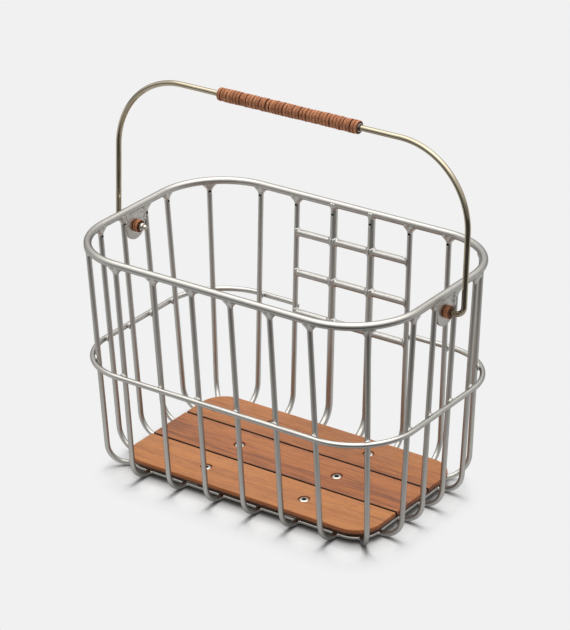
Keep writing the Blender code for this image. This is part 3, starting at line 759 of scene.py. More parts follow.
def posts(cage):
    """Every upright: its name, where it stands on the rim, and its kind."""
    weld = (cage.rim_weld_height, cage.rim_weld_width)
    plain = (cage.wall_lean, cage.upright_radius, *weld)
    stout = (cage.wall_lean, cage.stout_radius, *[cage.stout_weld_share * size for size in weld])
    found = []

    def add(name, x, y, turn, kind):
        spin = Matrix.Translation((x, y, 0)) @ Matrix.Rotation(turn, 4, "Z")
        found.append(Post(name, x, y, spin, spin.to_3x3() @ Vector((1, 0, 0)), *kind))

    middle = (cage.wall_uprights - 1) / 2
    for i in range(cage.wall_uprights):
        x = cage.wall_pitch * (i - middle)
        add(f"front_upright_{i + 1}", x, -cage.rim_half_width, math.pi, plain)
        add(f"back_upright_{i + 1}", x, cage.rim_half_width, 0.0, stout if abs(i - middle) < 1 else plain)
    for i in range(cage.side_uprights):
        y = cage.side_pitch * (i - (cage.side_uprights - 1) / 2)
        for side, sign in SIDES:
            add(f"{side}_upright_{i + 1}", sign * cage.rim_half_length, y, -sign * math.pi / 2, plain)
    inset = cage.rim_corner * CORNER_SHARE
    kind = (cage.corner_lean, cage.upright_radius, *weld)
    for wall, sign_y in (("front", -1), ("back", 1)):
        for side, sign_x in SIDES:
            x, y = sign_x * (cage.rim_half_length - inset), sign_y * (cage.rim_half_width - inset)
            add(f"{wall}_{side}_corner_upright", x, y, math.atan2(sign_y, sign_x) - math.pi / 2, kind)
    return found


def upright_run(cage, post):
    """Guide points of one upright from inside the rim to the bottom ring."""
    start, fine, coarse = 0.0008, 0.00045, 0.011
    slope = Vector((0, -math.sin(post.lean), -math.cos(post.lean)))
    top = Vector((0, 0, cage.rim_height))
    inset = foot_inset(cage, post.lean, post.radius)
    bend = arc(-inset, post.radius + cage.bend_radius, cage.bend_radius, -post.lean, -math.pi / 2, 18)
    bend = [Vector((0, y, z)) for y, z in bend]
    weld_end = cage.rim_radius + post.reach + start
    places = spaced(start, weld_end, fine) + spaced(weld_end, (bend[0] - top).length, coarse)[1:-1]
    local = [(top + slope * place, cage.rim_radius, place, post.reach, post.width) for place in places]
    local += [(spot, 0.0, FAR, 0.0, 0.0) for spot in bend]
    foot_y = bend[-1].y
    run = abs(-ring_inset(cage, post.lean) - foot_y)
    for place in spaced(0.0003, run, 0.00035):
        spot = Vector((0, foot_y - place, post.radius))
        local.append((spot, cage.bottom_radius, run - place, cage.foot_weld, cage.foot_weld))
    axis = post.axis.normalized()
    return [GuidePoint(post.spin @ spot, post.radius, axis, *weld) for spot, *weld in local]


def rod_run(cage, start_x, end_x, y, z, mates):
    """Guide points of one grid rod between two uprights, whose radii are given."""
    start, fine, coarse = 0.0006, 0.0004, 0.008
    lean, weld = cage.wall_lean, cage.rod_weld
    axis = Vector((0, math.sin(lean), math.cos(lean)))
    span = end_x - start_x
    weld_end = max(mates) + weld + start
    places = spaced(start, weld_end, fine)
    places += spaced(weld_end, span - weld_end, coarse)[1:-1] + [span - place for place in places[::-1]]
    run = []
    for place in places:
        mate = mates[0] if place < span / 2 else mates[1]
        spot, distance = Vector((start_x + place, y, z)), min(place, span - place)
        run.append(GuidePoint(spot, cage.rod_radius, axis, mate, distance, weld, weld))
    return run


def domed_ends(path, radius):
    """Guide points along an open path whose two tips are rounded over."""
    turns = [math.radians(degrees) for degrees in (0, 25, 45, 60, 72, 82, 88)]
    dome_share, least_share = 0.8, 0.04

    def tip(end, inner):
        inward = (inner - end).normalized()
        for t in turns:
            depth = radius * dome_share * (1 - math.sin(t))
            yield GuidePoint(end + inward * depth, radius, share=max(math.cos(t), least_share))

    start, end = [*tip(path[0], path[1])], [*tip(path[-1], path[-2])]
    return start[::-1] + [GuidePoint(spot, radius) for spot in path[1:-1]] + end


# Geometry trees


TUBE_INPUTS = {"sides": 24, "weld_flank": 0.1, "weld_ripple": 0.0001, "weld_lip": 0.00025, "lowest": 0.0}
BEAD_INPUTS = {"length": 0.0038, "height": 0.0038, "depth": 0.0019, "lumps": 0.0009}
DISC_INPUTS = {"disc": "Object", "count": 42, "start": "Vector", "pitch": 0.004, "slip": 0.0, "tilt": 0.05}
DISC_INPUTS.update({"shrink": 0.08, "raggedness": 0.0003, "least_tone": 0.0, "seed": SEED})


@node_group("Welded Tube", "Geometry", geometry="Geometry", **TUBE_INPUTS, finish="Material")
def welded_tube(net, given):
    """Sweeps a round tube along each guide line, and swells it into a weld where it meets another tube."""
    curve = net.node("GeometryNodeMeshToCurve", {"Mesh": given.geometry})
    ring = net.node("GeometryNodeCurvePrimitiveCircle", {"Resolution": given.sides, "Radius": 1.0})
    place = net.node("GeometryNodeInputPosition")
    profile = net.stored(ring, "around", place, "FLOAT_VECTOR")
    feeds = {"Curve": curve, "Profile Curve": profile, "Fill Caps": True}
    tube = net.node("GeometryNodeCurveToMesh", feeds)

    centre, axis = net.named("centre", "FLOAT_VECTOR"), net.named("axis", "FLOAT_VECTOR")
    radius, mate = net.named("tube_radius"), net.named("mate_radius")
    offset = net.math("NORMALIZE", place - centre)
    flank = offset.dot(axis)
    flank_squared = flank * flank
    left = mate * mate - (1.0 - flank_squared) * (radius * radius)
    height = net.named("mate_distance") - net.math("SQRT", left.at_least(0.0))
    near = (1.0 - height / net.named("weld_reach").at_least(0.00001)).clamped()
    width = net.named("weld_width") * (given.weld_flank + (1.0 - given.weld_flank) * flank_squared)
    flare, lip_level, lip_reach = 1.5, 0.13, 0.12
    swell = net.math("POWER", near, flare) * width
    ripple = (place.grain(520.0, 2.0) - 0.5) * near * given.weld_ripple
    lip = (1.0 - abs(near - lip_level) / lip_reach).clamped() * given.weld_lip
    grown_radius = radius * net.named("share") + (swell + ripple + lip)
    where = (centre + offset * grown_radius).at_least(net.vector(-FAR, -FAR, given.lowest))
    feeds = {"Geometry": net.stored(tube, "weld", near), "Position": where}
    return net.finished(net.node("GeometryNodeSetPosition", feeds), given.finish)


@node_group("Weld Beads", "Geometry", geometry="Geometry", **BEAD_INPUTS, finish="Material")
def weld_beads(net, given):
    """Sets a small weld bead on each point, turned to the point's own axis."""
    ball = net.node("GeometryNodeMeshIcoSphere", {"Radius": 1.0, "Subdivisions": 4})
    size = net.vector(given.length, given.depth, given.height) * net.chance(0.85, 1.12, SEED)
    feeds = {"Vector": net.named("axis", "FLOAT_VECTOR")}
    turn = net.node("FunctionNodeAlignRotationToVector", feeds, axis="X")
    real = net.real(net.copies(given.geometry, ball, turn, size))
    lumps = net.node("GeometryNodeInputPosition").grain(330.0, 2.0) - 0.5
    lumpy = net.pushed(real, lumps * given.lumps)
    return net.finished(net.stored(lumpy, "weld", 1.0), given.finish)


@node_group("Leather Stack", "Geometry", geometry="Geometry", **DISC_INPUTS, finish="Material")
def leather_row(net, given):
    """A row of leather discs along X, each with its own turn, tilt, size and tone."""

    def chance(low, high, salt):
        return net.chance(low, high, given.seed + salt)

    step = net.vector(given.pitch)
    feeds = {"Count": given.count, "Start Location": given.start, "Offset": step}
    row = net.node("GeometryNodeMeshLine", feeds)
    disc = net.node("GeometryNodeObjectInfo", {"Object": given.disc}, "Geometry")
    back, lean = given.tilt * -1.0, given.tilt
    turn = net.turned(chance(0.0, math.tau, 1.0), chance(back, lean, 2.0), chance(back, lean, 3.0))
    across = chance(1.0 - given.shrink, 1.0, 4.0)
    scale = net.vector(chance(0.97, 1.0, 5.0), across, across)

    number = net.node("GeometryNodeInputIndex")
    inner = net.math("GREATER_THAN", number, 0.5) * net.math("LESS_THAN", number, given.count - 1.0)
    slip = given.pitch * given.slip
    slide = net.vector(chance(slip * -1.0, slip, 7.0) * inner)
    row = net.node("GeometryNodeSetPosition", {"Geometry": row, "Offset": slide})
    placed = net.copies(row, disc, turn, scale)
    toned = net.stored(placed, "tone", chance(given.least_tone, 1.0, 6.0), domain="INSTANCE")
    rough = net.node("GeometryNodeInputPosition").grain(700.0) - 0.5
    inward = net.math("MINIMUM", rough - 0.15, 0.0)
    return net.finished(net.pushed(net.real(toned), inward * given.raggedness), given.finish)


@node_group("Screw Row", "Geometry", geometry="Geometry", screw="Object", seed=SEED, finish="Material")
def screw_row(net, given):
    """Sets a screw on each point, with its socket turned at random."""
    screw = net.node("GeometryNodeObjectInfo", {"Object": given.screw}, "Geometry")
    turn = net.turned(z=net.chance(0.0, math.tau, given.seed))
    return net.finished(net.copies(given.geometry, screw, turn), given.finish)


# Meshes and pieces


def linked(name, data):
    """A new object in the scene."""
    made = bpy.data.objects.new(name, data)
    bpy.context.scene.collection.objects.link(made)
    return made


def mark(mesh, key, values):
    """Store a number or a vector on each point of a mesh."""
    if isinstance(values[0], (int, float)):
        mesh.attributes.new(key, "FLOAT", "POINT").data.foreach_set("value", values)
        return
    flat = [part for vector in values for part in vector]
    mesh.attributes.new(key, "FLOAT_VECTOR", "POINT").data.foreach_set("vector", flat)


def marked_points(name, places, edges=(), **marks):
    """An object of loose points and edges, with values stored on the points."""
    mesh = bpy.data.meshes.new(name)
    mesh.from_pydata(places, edges, [])
    for key, values in marks.items():
        mark(mesh, key, values)
    return linked(name, mesh)


def smoothed(mesh):
    mesh.shade_smooth()
    mesh.set_sharp_from_angle(angle=SHARP_ABOVE)


def placed_piece(name, mesh, surface=None):
    """Link a finished mesh as one piece at the origin."""
    mesh.name = name
    smoothed(mesh)
    if surface:
        mesh.materials.clear()
        mesh.materials.append(finish(surface))
    return linked(name, mesh)


def evaluated_mesh(piece):
    """A plain mesh of an object with its modifiers done."""
    graph = bpy.context.evaluated_depsgraph_get()
    graph.update()
    done = piece.evaluated_get(graph)
    return bpy.data.meshes.new_from_object(done, preserve_all_data_layers=True, depsgraph=graph)


def applied(piece):
    """Bake a piece's modifiers into its mesh."""
    mesh = evaluated_mesh(piece)
    piece.modifiers.clear()
    piece.data = mesh
    smoothed(mesh)


def grown(name, source, tree, surface, **values):
    """Run a tree on a source object, and keep the result as a plain mesh object."""
    step = source.modifiers.new(name, "NODES")
    step.node_group = tree
    for key, value in dict(values, finish=finish(surface)).items():
        step[tree.interface.items_tree[label(key)].identifier] = value
    mesh = evaluated_mesh(source)
    if not mesh.polygons:
        raise RuntimeError(f"{name} came out empty")
    source.modifiers.remove(step)
    bpy.data.objects.remove(source)
    for key in GuidePoint._fields:
        if key in mesh.attributes:
            mesh.attributes.remove(mesh.attributes[key])
    return placed_piece(name, mesh)


def swept(name, runs, surface="satin_tube", closed=False, **values):
    """Sweep a tube along each run of guide points."""
    edges, first = [], 0
    for run in runs:
        size = len(run)
        edges += [(first + i, first + (i + 1) % size) for i in range(size if closed else size - 1)]
        first += size
    marks = dict(zip(GuidePoint._fields, zip(*[point for run in runs for point in run])))
    guide = marked_points(name + "_guide", marks["centre"], edges, **marks)
    return grown(name, guide, welded_tube(), surface, **values)


def grown_on(name, spots, tree, surface, **values):
    """Run a tree on spots, each of which is a place and an axis."""
    places, axes = zip(*spots)
    return grown(name, marked_points(name + "_spots", places, axis=axes), tree, surface, **values)


def hand_over(piece, body, slot, *nodes):
    """Hang a piece under the empty of the body that carries it, and hide the solids that it stands for. The
    slot for its finish is not used.
    """
    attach(piece, body)
    if nodes:
        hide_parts(*nodes)


def clean_mesh(shape):
    """End a shape as a mesh without doubles, facing outwards."""
    bmesh.ops.remove_doubles(shape, verts=shape.verts, dist=SAME_PLACE)
    bmesh.ops.recalc_face_normals(shape, faces=shape.faces)
    mesh = bpy.data.meshes.new("shape")
    shape.to_mesh(mesh)
    shape.free()
    return mesh


def cut_away(piece, shape):
    """Subtract a closed shape from a piece."""
    cutter = linked("cutter", clean_mesh(shape))
    step = piece.modifiers.new("cut", "BOOLEAN")
    step.operation, step.object, step.solver = "DIFFERENCE", cutter, "EXACT"
    applied(piece)
    bpy.data.objects.remove(cutter)


def bevel(piece, width, segments):
    step = piece.modifiers.new("ease", "BEVEL")
    step.width, step.segments = width, segments
    step.limit_method, step.angle_limit = "ANGLE", EASE_ABOVE
    step.harden_normals = False
    applied(piece)


def join_rows(shape, rows, closed):
    """Faces between each ring of points and the next, and from the last to the first if closed."""
    for low, high in zip(rows, rows[1:] + rows[:1] if closed else rows[1:]):
        for i in range(len(low)):
            j = (i + 1) % len(low)
            shape.faces.new((low[i], low[j], high[j], high[i]))


def turned_shape(profile, steps, bored=False, shape=None, matrix=None):
    """Revolve (radius, height) points about Z. A bored profile closes on itself."""
    shape = shape or bmesh.new()
    matrix = matrix or Matrix.Identity(4)
    angles = [math.tau * k / steps for k in range(steps)]
    rows = []
    for radius, height in profile:
        row = [Vector((radius * math.cos(a), radius * math.sin(a), height)) for a in angles]
        rows.append([shape.verts.new(matrix @ spot) for spot in row])
    join_rows(shape, rows, bored)
    if not bored:
        shape.faces.new(rows[0][::-1])
        shape.faces.new(rows[-1])
    return shape


def slab_mesh(outline, low, thickness, turn=None):
    """A flat outline given a thickness upward from low."""
    shape = bmesh.new()
    face = shape.faces.new([shape.verts.new((u, v, low)) for u, v in outline])
    top = bmesh.ops.extrude_face_region(shape, geom=[face])["geom"]
    moved = [item for item in top if isinstance(item, bmesh.types.BMVert)]
    bmesh.ops.translate(shape, vec=(0, 0, thickness), verts=moved)
    if turn:
        bmesh.ops.transform(shape, matrix=turn, verts=shape.verts)
    return clean_mesh(shape)


# The cage


def closed_ring(name, outline, height, radius, sides):
    run = [GuidePoint(spot, radius) for spot in dense(outline, height)]
    return swept(name, [run], closed=True, sides=sides)


class BASKET_OT_rings(bpy.types.Operator):
    """Sweep the rim, the open middle ring and the ring under the board"""

    bl_idname = "basket.rings"
    bl_label = "Rim and Rings"

    def execute(self, context):
        cage = context.scene.basket_cage
        outline = rounded_rectangle(cage.rim_half_length, cage.rim_half_width, cage.rim_corner, RIM_STEPS)
        rim = closed_ring("rim_tube", outline, cage.rim_height, cage.rim_radius, RIM_SIDES)
        hand_over(rim, "basket", "satin_tube", "top_rim")

        half_x, half_y, corner = mid_ring_outline(cage)
        outline = rounded_rectangle(half_x, half_y, corner, RING_STEPS)
        past_upright = 0.001
        end_x = cage.wall_pitch * (cage.wall_uprights - 3) / 2 + past_upright
        turn = RING_STEPS + 1
        path = [(-end_x, half_y)] + outline[turn:] + outline[:turn] + [(end_x, half_y)]
        run = domed_ends(dense(path, cage.mid_height, closed=False), cage.mid_radius)
        ring = swept("mid_ring_wire", [run], "satin_ring", sides=cage.tube_sides)
        hand_over(ring, "basket", "satin_tube", "mid_ring")

        outline = rounded_rectangle(*bottom_ring_outline(cage), RING_STEPS)
        height, radius = cage.upright_radius, cage.bottom_radius
        ring = closed_ring("bottom_ring_wire", outline, height, radius, cage.tube_sides)
        hand_over(ring, "basket", "satin_tube", "bottom_ring")
        return {"FINISHED"}


def vent_drill(cage, post):
    """Where an upright's vent hole is drilled, from its inner side outwards."""
    inner_y = -cage.vent_drop * math.tan(post.lean) - post.radius
    lie = Matrix.Translation((0, inner_y, cage.rim_height - cage.vent_drop))
    return post.spin @ lie @ Matrix.Rotation(-math.pi / 2, 4, "X")


def shade_holes(mesh, drills, cage):
    """Mark the points that lie inside a drilled hole, which the finish paints near-black as painted shade."""
    back = [drill.inverted() for drill in drills]
    height, reach = cage.rim_height - cage.vent_drop, cage.vent_radius * 1.05
    low, high = 0.0002, 0.0045

    def inside(place):
        if abs(place.z - height) >= 2 * cage.vent_radius:
            return False
        spots = [turn @ place for turn in back]
        return any(low < spot.z < high and math.hypot(spot.x, spot.y) < reach for spot in spots)

    mark(mesh, "shade", [float(inside(vertex.co)) for vertex in mesh.vertices])


class BASKET_OT_uprights(bpy.types.Operator):
    """Bend the uprights, weld them to the rim and the bottom ring, and drill their vent holes"""

    bl_idname = "basket.uprights"
    bl_label = "Uprights"

    def execute(self, context):
        cage = context.scene.basket_cage
        found = posts(cage)
        piece = swept("uprights", [upright_run(cage, post) for post in found], sides=cage.tube_sides)
        drills = [vent_drill(cage, post) for post in found]
        holes = bmesh.new()
        profile = [(cage.vent_radius * share, depth) for share, depth in VENT_PROFILE]
        for drill in drills:
            turned_shape(profile, 16, shape=holes, matrix=drill)
        cut_away(piece, holes)
        shade_holes(piece.data, drills, cage)
        hand_over(piece, "basket", "satin_tube", *[post.name for post in found])
        return {"FINISHED"}


def rod_rows(cage):
    """The height and the place across of each row of rods, from the top."""
    for row, name in enumerate(GRID_ROWS):
        z = cage.rim_height - cage.rod_drop - row * cage.rod_pitch
        yield name, cage.rim_half_width - (cage.rim_height - z) * math.tan(cage.wall_lean), z


class BASKET_OT_grid(bpy.types.Operator):
    """Weld three rows of rods between the four middle uprights of the back wall"""

    bl_idname = "basket.grid"
    bl_label = "Back Grid"

    def execute(self, context):
        cage = context.scene.basket_cage
        inner, outer = cage.wall_pitch / 2, cage.wall_pitch * 3 / 2
        plain, stout = cage.upright_radius, cage.stout_radius
        spans = [
            ("left", -outer, -inner, (plain, stout)),
            ("centre", -inner, inner, (stout, stout)),
            ("right", inner, outer, (stout, plain)),
        ]
        runs, nodes = [], []
        for row, y, z in rod_rows(cage):
            for side, start, end, mates in spans:
                runs.append(rod_run(cage, start, end, y, z, mates))
                nodes.append(f"grid_rod_{row}_{side}")
        piece = swept("grid_rods", runs, sides=cage.tube_sides, weld_flank=0.5)
        hand_over(piece, "basket", "satin_tube", *nodes)
        return {"FINISHED"}


def crossing_spots(cage):
    """Where the middle ring crosses the uprights. It is open at the stout ones."""
    drop = cage.rim_height - cage.mid_height
    for post in posts(cage):
        if post.radius < cage.stout_radius:
            out = post.radius - drop * math.tan(post.lean)
            yield post.spin @ Vector((0, out, cage.mid_height)), post.axis


def grid_spots(cage):
    """The tops of the stout uprights and the outer ends of the rods."""
    top_beads = ((-0.0012, 0.0008), (0.0006, 0.0011), (0.0016, 0.0004))
    end_gap, spacing, inward, sunk = 0.0016, 0.0013, 0.0006, 0.0001
    for post in posts(cage):
        if post.radius == cage.stout_radius:
            for shift, rise in top_beads:
                yield (post.x + shift, post.y - cage.rim_radius, cage.rim_height + rise), (1, 0, 0)
    for _, y, z in rod_rows(cage):
        for sign in (-1, 1):
            x = sign * (cage.wall_pitch * 3 / 2 - cage.upright_radius - end_gap)
            for shift in (0.0, spacing):
                yield (x - sign * shift, y - inward, z + cage.rod_radius - sunk), (1, 0, 0)


def plate_spots(cage):
    """The seam of each pivot plate: along the rim, and down both uprights."""
    beads, fall, most_stray, half_thickness, below_rim = 8, 0.0016, 0.0014, 0.0014, 0.0002
    half = cage.side_pitch / 2 - cage.upright_radius
    top = cage.rim_height - cage.rim_radius - below_rim
    seam = [(half * (k / beads - 1), top) for k in range(2 * beads + 1)]
    seam += [(turn * half, top - fall * (k + 1)) for turn in (-1, 1) for k in range(beads)]
    for _, sign in SIDES:
        for k, (y, z) in enumerate(seam):
            stray = noise.noise(Vector((k * 0.83, sign * 2.0, 0))) * most_stray
            lean_in = (cage.rim_height - z) * math.tan(cage.wall_lean) * sign
            for face in (-1, 1):
                x = sign * cage.rim_half_length - lean_in + face * half_thickness
                yield (x, y + stray, z + stray), (0, 1, 0.4)


class BASKET_OT_beads(bpy.types.Operator):
    """Lay weld beads at the middle ring, at the grid's ends and round the pivot plates"""

    bl_idname = "basket.beads"
    bl_label = "Weld Beads"

    def execute(self, context):
        cage = context.scene.basket_cage
        rows = [
            ("ring_weld_beads", crossing_spots, {}),
            ("grid_weld_beads", grid_spots, {"length": 0.0013, "height": 0.001, "depth": 0.0011}),
            ("plate_weld_beads", plate_spots, {"length": 0.0016, "height": 0.0014, "depth": 0.0010}),
        ]
        for name, spots, size in rows:
            piece = grown_on(name, spots(cage), weld_beads(), "satin_tube", **size)
            hand_over(piece, "basket", "satin_tube")
        return {"FINISHED"}


# The base


def board_outline(cage, base):
    half_x, half_y, radius = bottom_ring_outline(cage)
    return half_x + base.overhang, half_y + base.overhang, radius + base.overhang


def plank_width(cage, base):
    return (2 * board_outline(cage, base)[1] - (len(PLANKS) - 1) * base.plank_gap) / len(PLANKS)


def plank_outline(cage, base, row):
    """Outline of one plank. The first and the last share the board's round corners."""
    half_x, half_y, radius = board_outline(cage, base)
    width = plank_width(cage, base)
    low = row * (width + base.plank_gap) - half_y
    high = low + width
    board = rounded_rectangle(half_x, half_y, radius, PLANK_STEPS)
    turn = 2 * (PLANK_STEPS + 1)
    if row == 0:
        return [(half_x, high), (-half_x, high)] + board[turn:]
    if row == len(PLANKS) - 1:
        return board[:turn] + [(-half_x, low), (half_x, low)]
    return [(-half_x, low), (half_x, low), (half_x, high), (-half_x, high)]


def screw_places(cage, base):
    """Each screw's plank, its side and its place across the board."""
    pitch = plank_width(cage, base) + base.plank_gap
    for row, plank in enumerate(PLANKS):
        for side, sign in SIDES:
            yield plank, side, sign * base.screw_column, (row - 1) * pitch


class BASKET_OT_base(bpy.types.Operator):
    """Saw the planks, round their edges, sink the screw recesses and lay them on two bars"""

    bl_idname = "basket.base"
    bl_label = "Plank Base"

    def execute(self, context):
        cage, base = context.scene.basket_cage, context.scene.basket_base
        top = base.board_height + base.board_thickness
        floor = top - base.counterbore_depth
        r, shank = base.counterbore_radius, base.shank_radius + context.scene.basket_bail.seat_gap
        recess = [(shank, base.board_height - 0.001), (shank, floor), (r - 0.0004, floor)]
        recess += [(r, floor + 0.0003), (r, top - 0.0004)]
        recess += [(r + 0.00015, top - 0.00012), (r + 0.0006, top + 0.0003)]
        for row, (name, tone) in enumerate(zip(PLANKS, PLANK_TONES)):
            mesh = slab_mesh(plank_outline(cage, base, row), base.board_height, base.board_thickness)
            piece = placed_piece(name + "_wood", mesh, "oiled_wood")
            bevel(piece, base.edge_ease, 4)
            holes = bmesh.new()
            for plank, _, x, y in screw_places(cage, base):
                if plank == name:
                    turned_shape(recess, ROUND_STEPS, shape=holes, matrix=Matrix.Translation((x, y, 0)))
            cut_away(piece, holes)
            mark(piece.data, "tone", [tone] * len(piece.data.vertices))
            hand_over(piece, "basket", "oiled_wood", name)

        half, bar_ease = base.bar_width / 2, 0.0004
        reach = bottom_ring_outline(cage)[1] + cage.bottom_radius / 2
        for side, sign in SIDES:
            x = sign * base.screw_column
            outline = [(x - half, -reach), (x + half, -reach), (x + half, reach), (x - half, reach)]
            mesh = slab_mesh(outline, base.bar_height, base.bar_thickness)
            piece = placed_piece(f"crossbar_{side}_strip", mesh, "satin_tube")
            bevel(piece, bar_ease, 2)
            hand_over(piece, "basket", "satin_tube", f"crossbar_{side}")
        return {"FINISHED"}


class BASKET_OT_screws(bpy.types.Operator):
    """Turn the button-headed screws with their hexagon sockets and set them in the planks"""

    bl_idname = "basket.screws"
    bl_label = "Screws"

    def execute(self, context):
        cage, base = context.scene.basket_cage, context.scene.basket_base
        top = base.board_height + base.board_thickness
        seat = top - base.counterbore_depth + context.scene.basket_bail.seat_gap
        below_bar, flat_share, skirt_share, dome_step = 0.001, 1.3, 0.45, 0.16
        depth, flat = seat - base.bar_height + below_bar, base.socket_radius * flat_share
        r, h, shank = base.head_radius, base.head_height, base.shank_radius
        profile = [(shank - 0.0003, -depth), (shank, -depth + 0.0004), (shank, 0.0)]
        profile += [(r - 0.0002, 0.0), (r, 0.0002)]
        for t in spaced(0.0, math.pi / 2, dome_step):
            height = h * skirt_share + h * (1 - skirt_share) * math.sin(t)
            profile.append((flat + (r - flat) * math.cos(t), height))
        screw = placed_piece("screw", clean_mesh(turned_shape(profile, ROUND_STEPS)), "bright_fastener")
        socket = base.socket_radius
        cut_away(screw, turned_shape([(socket, h - base.socket_depth), (socket, h + 0.001)], 6))
        cut_away(screw, turned_shape([(socket * 0.85, h - 0.0002), (socket * 1.1, h + 0.0004)], ROUND_STEPS))
        # Points in the socket are marked for painted shade, which the finish paints near-black.
        spots = [v.co for v in screw.data.vertices]
        mark(screw.data, "shade", [float(s.z > 0 and math.hypot(s.x, s.y) < socket * 1.02) for s in spots])

        places = list(screw_places(cage, base))
        spots = [((x, y, seat), (1, 0, 0)) for _, _, x, y in places]
        piece = grown_on("base_screws", spots, screw_row(), "bright_fastener", screw=screw)
        bpy.data.objects.remove(screw)
        names = [f"{plank}_screw_{side}" for plank, side, _, _ in places]
        hand_over(piece, "basket", "bright_fastener", *names)
        return {"FINISHED"}


# The pivots, the bail and the grip


def pivot_place(cage, bail, sign):
    """The pivot's centre on one side."""
    x = cage.rim_half_length - bail.pivot_drop * math.tan(cage.wall_lean)
    return Vector((sign * x, 0, cage.rim_height - bail.pivot_drop))


def bail_matrix(cage, bail):
    """From the bail's own upright plane to its place at rest."""
    z = cage.rim_height - bail.pivot_drop
    return Matrix.Translation((0, 0, z)) @ Matrix.Rotation(-bail.lean, 4, "X")


def disc_mesh(radius, bore, thickness, barrel):
    """One cut leather disc along X from X zero, its outer edge uneven and barrelled by that share."""
    shape = bmesh.new()
    depth, unevenness, wave = thickness / 2, 0.05, 2.1
    half = [(bore, 0.0), (bore + (radius - bore) * 0.5, 0.0), (radius * 0.87, 0.0)]
    half += [(radius * 0.935, 0.04), (radius * 0.98, 0.14), (radius, 0.33)]
    side = [(r, -0.5 + fall * barrel) for r, fall in half]
    side += [(r, 0.5 - fall * barrel) for r, fall in half[::-1]]
    rows = []
    for r, share in side:
        row = []
        for k in range(DISC_STEPS):
            a = math.tau * k / DISC_STEPS
            stray = noise.noise(Vector((math.cos(a) * wave, math.sin(a) * wave, share)))
            size = r * (1 - unevenness * (0.5 + 0.5 * stray)) if r > bore * 1.3 else r
            place = (depth + share * thickness, size * math.cos(a), size * math.sin(a))
            row.append(shape.verts.new(place))
        rows.append(row)
    join_rows(shape, rows, closed=True)
    mesh = clean_mesh(shape)
    # The faces are marked for the painted shade between the discs.
    start, end = 0.5 - 0.16 * barrel, 0.5 - 0.03 * barrel
    across = [abs(vertex.co.x - depth) / thickness for vertex in mesh.vertices]
    mark(mesh, "face", [min(max((part - start) / (end - start), 0.0), 1.0) for part in across])
    return mesh


def leather_stack(name, start, span, discs, radius, bore, barrel, **values):
    """Leather discs that fill a span along X from a start point."""
    pitch = span / discs
    disc = placed_piece("disc", disc_mesh(radius, bore, pitch * DISC_OVERLAP, barrel), "tan_leather")
    values.update(disc=disc, count=discs, start=tuple(start), pitch=pitch)
    piece = grown_on(name, [((0, 0, 0), (1, 0, 0))], leather_row(), "tan_leather", **values)
    bpy.data.objects.remove(disc)
    return piece


class BASKET_OT_pivots(bpy.types.Operator):
    """Weld the pivot plates between the side uprights and set a leather washer on each face"""

    bl_idname = "basket.pivots"
    bl_label = "Pivot Plates and Washers"

    def execute(self, context):
        cage, bail = context.scene.basket_cage, context.scene.basket_bail
        sunk, shoulder_share, tongue_inset, plate_ease, past = 0.0006, 0.4, 0.0009, 0.0006, 0.004
        half = cage.side_pitch / 2 - cage.upright_radius + sunk
        rise, thickness = bail.pivot_drop, bail.plate_thickness
        shoulder = (rise - cage.rim_radius - cage.rim_weld_height) * shoulder_share
        outline = arc(0, 0, half - tongue_inset, math.pi, math.tau, 32)
        outline += [(half, shoulder), (half, rise), (-half, rise), (-half, shoulder)]
        upright = Matrix(((0, 0, 1, 0), (1, 0, 0, 0), (0, 1, 0, 0), (0, 0, 0, 1)))
        bore = bail.wire_radius + bail.seat_gap
        near = thickness / 2 + bail.seat_gap
        lows = {"outer": near, "inner": -near - bail.washer_thickness}
        for side, sign in SIDES:
            place = pivot_place(cage, bail, sign)
            lay = Matrix.Translation(place) @ upright
            mesh = slab_mesh(outline, -thickness / 2, thickness, lay)
            piece = placed_piece(f"pivot_plate_{side}_tab", mesh, "satin_plate")
            bevel(piece, plate_ease, 3)
            cut_away(piece, turned_shape([(bore, -past), (bore, past)], 32, matrix=lay))
            hand_over(piece, "basket", "satin_tube", f"pivot_plate_{side}")
            for k, (kind, low) in enumerate(lows.items()):
                x = place.x + (low if sign > 0 else -low - bail.washer_thickness)
                washer = leather_stack(
                    f"{kind}_washer_{side}_leather",
                    (x, 0, place.z),
                    bail.washer_thickness,
                    2,
                    bail.washer_radius,
                    bore,
                    barrel=0.4,
                    seed=11 + k,
                    tilt=0.02,
                    least_tone=0.75,
                )
                hand_over(washer, "basket", "tan_leather", f"{kind}_washer_{side}")
        return {"FINISHED"}


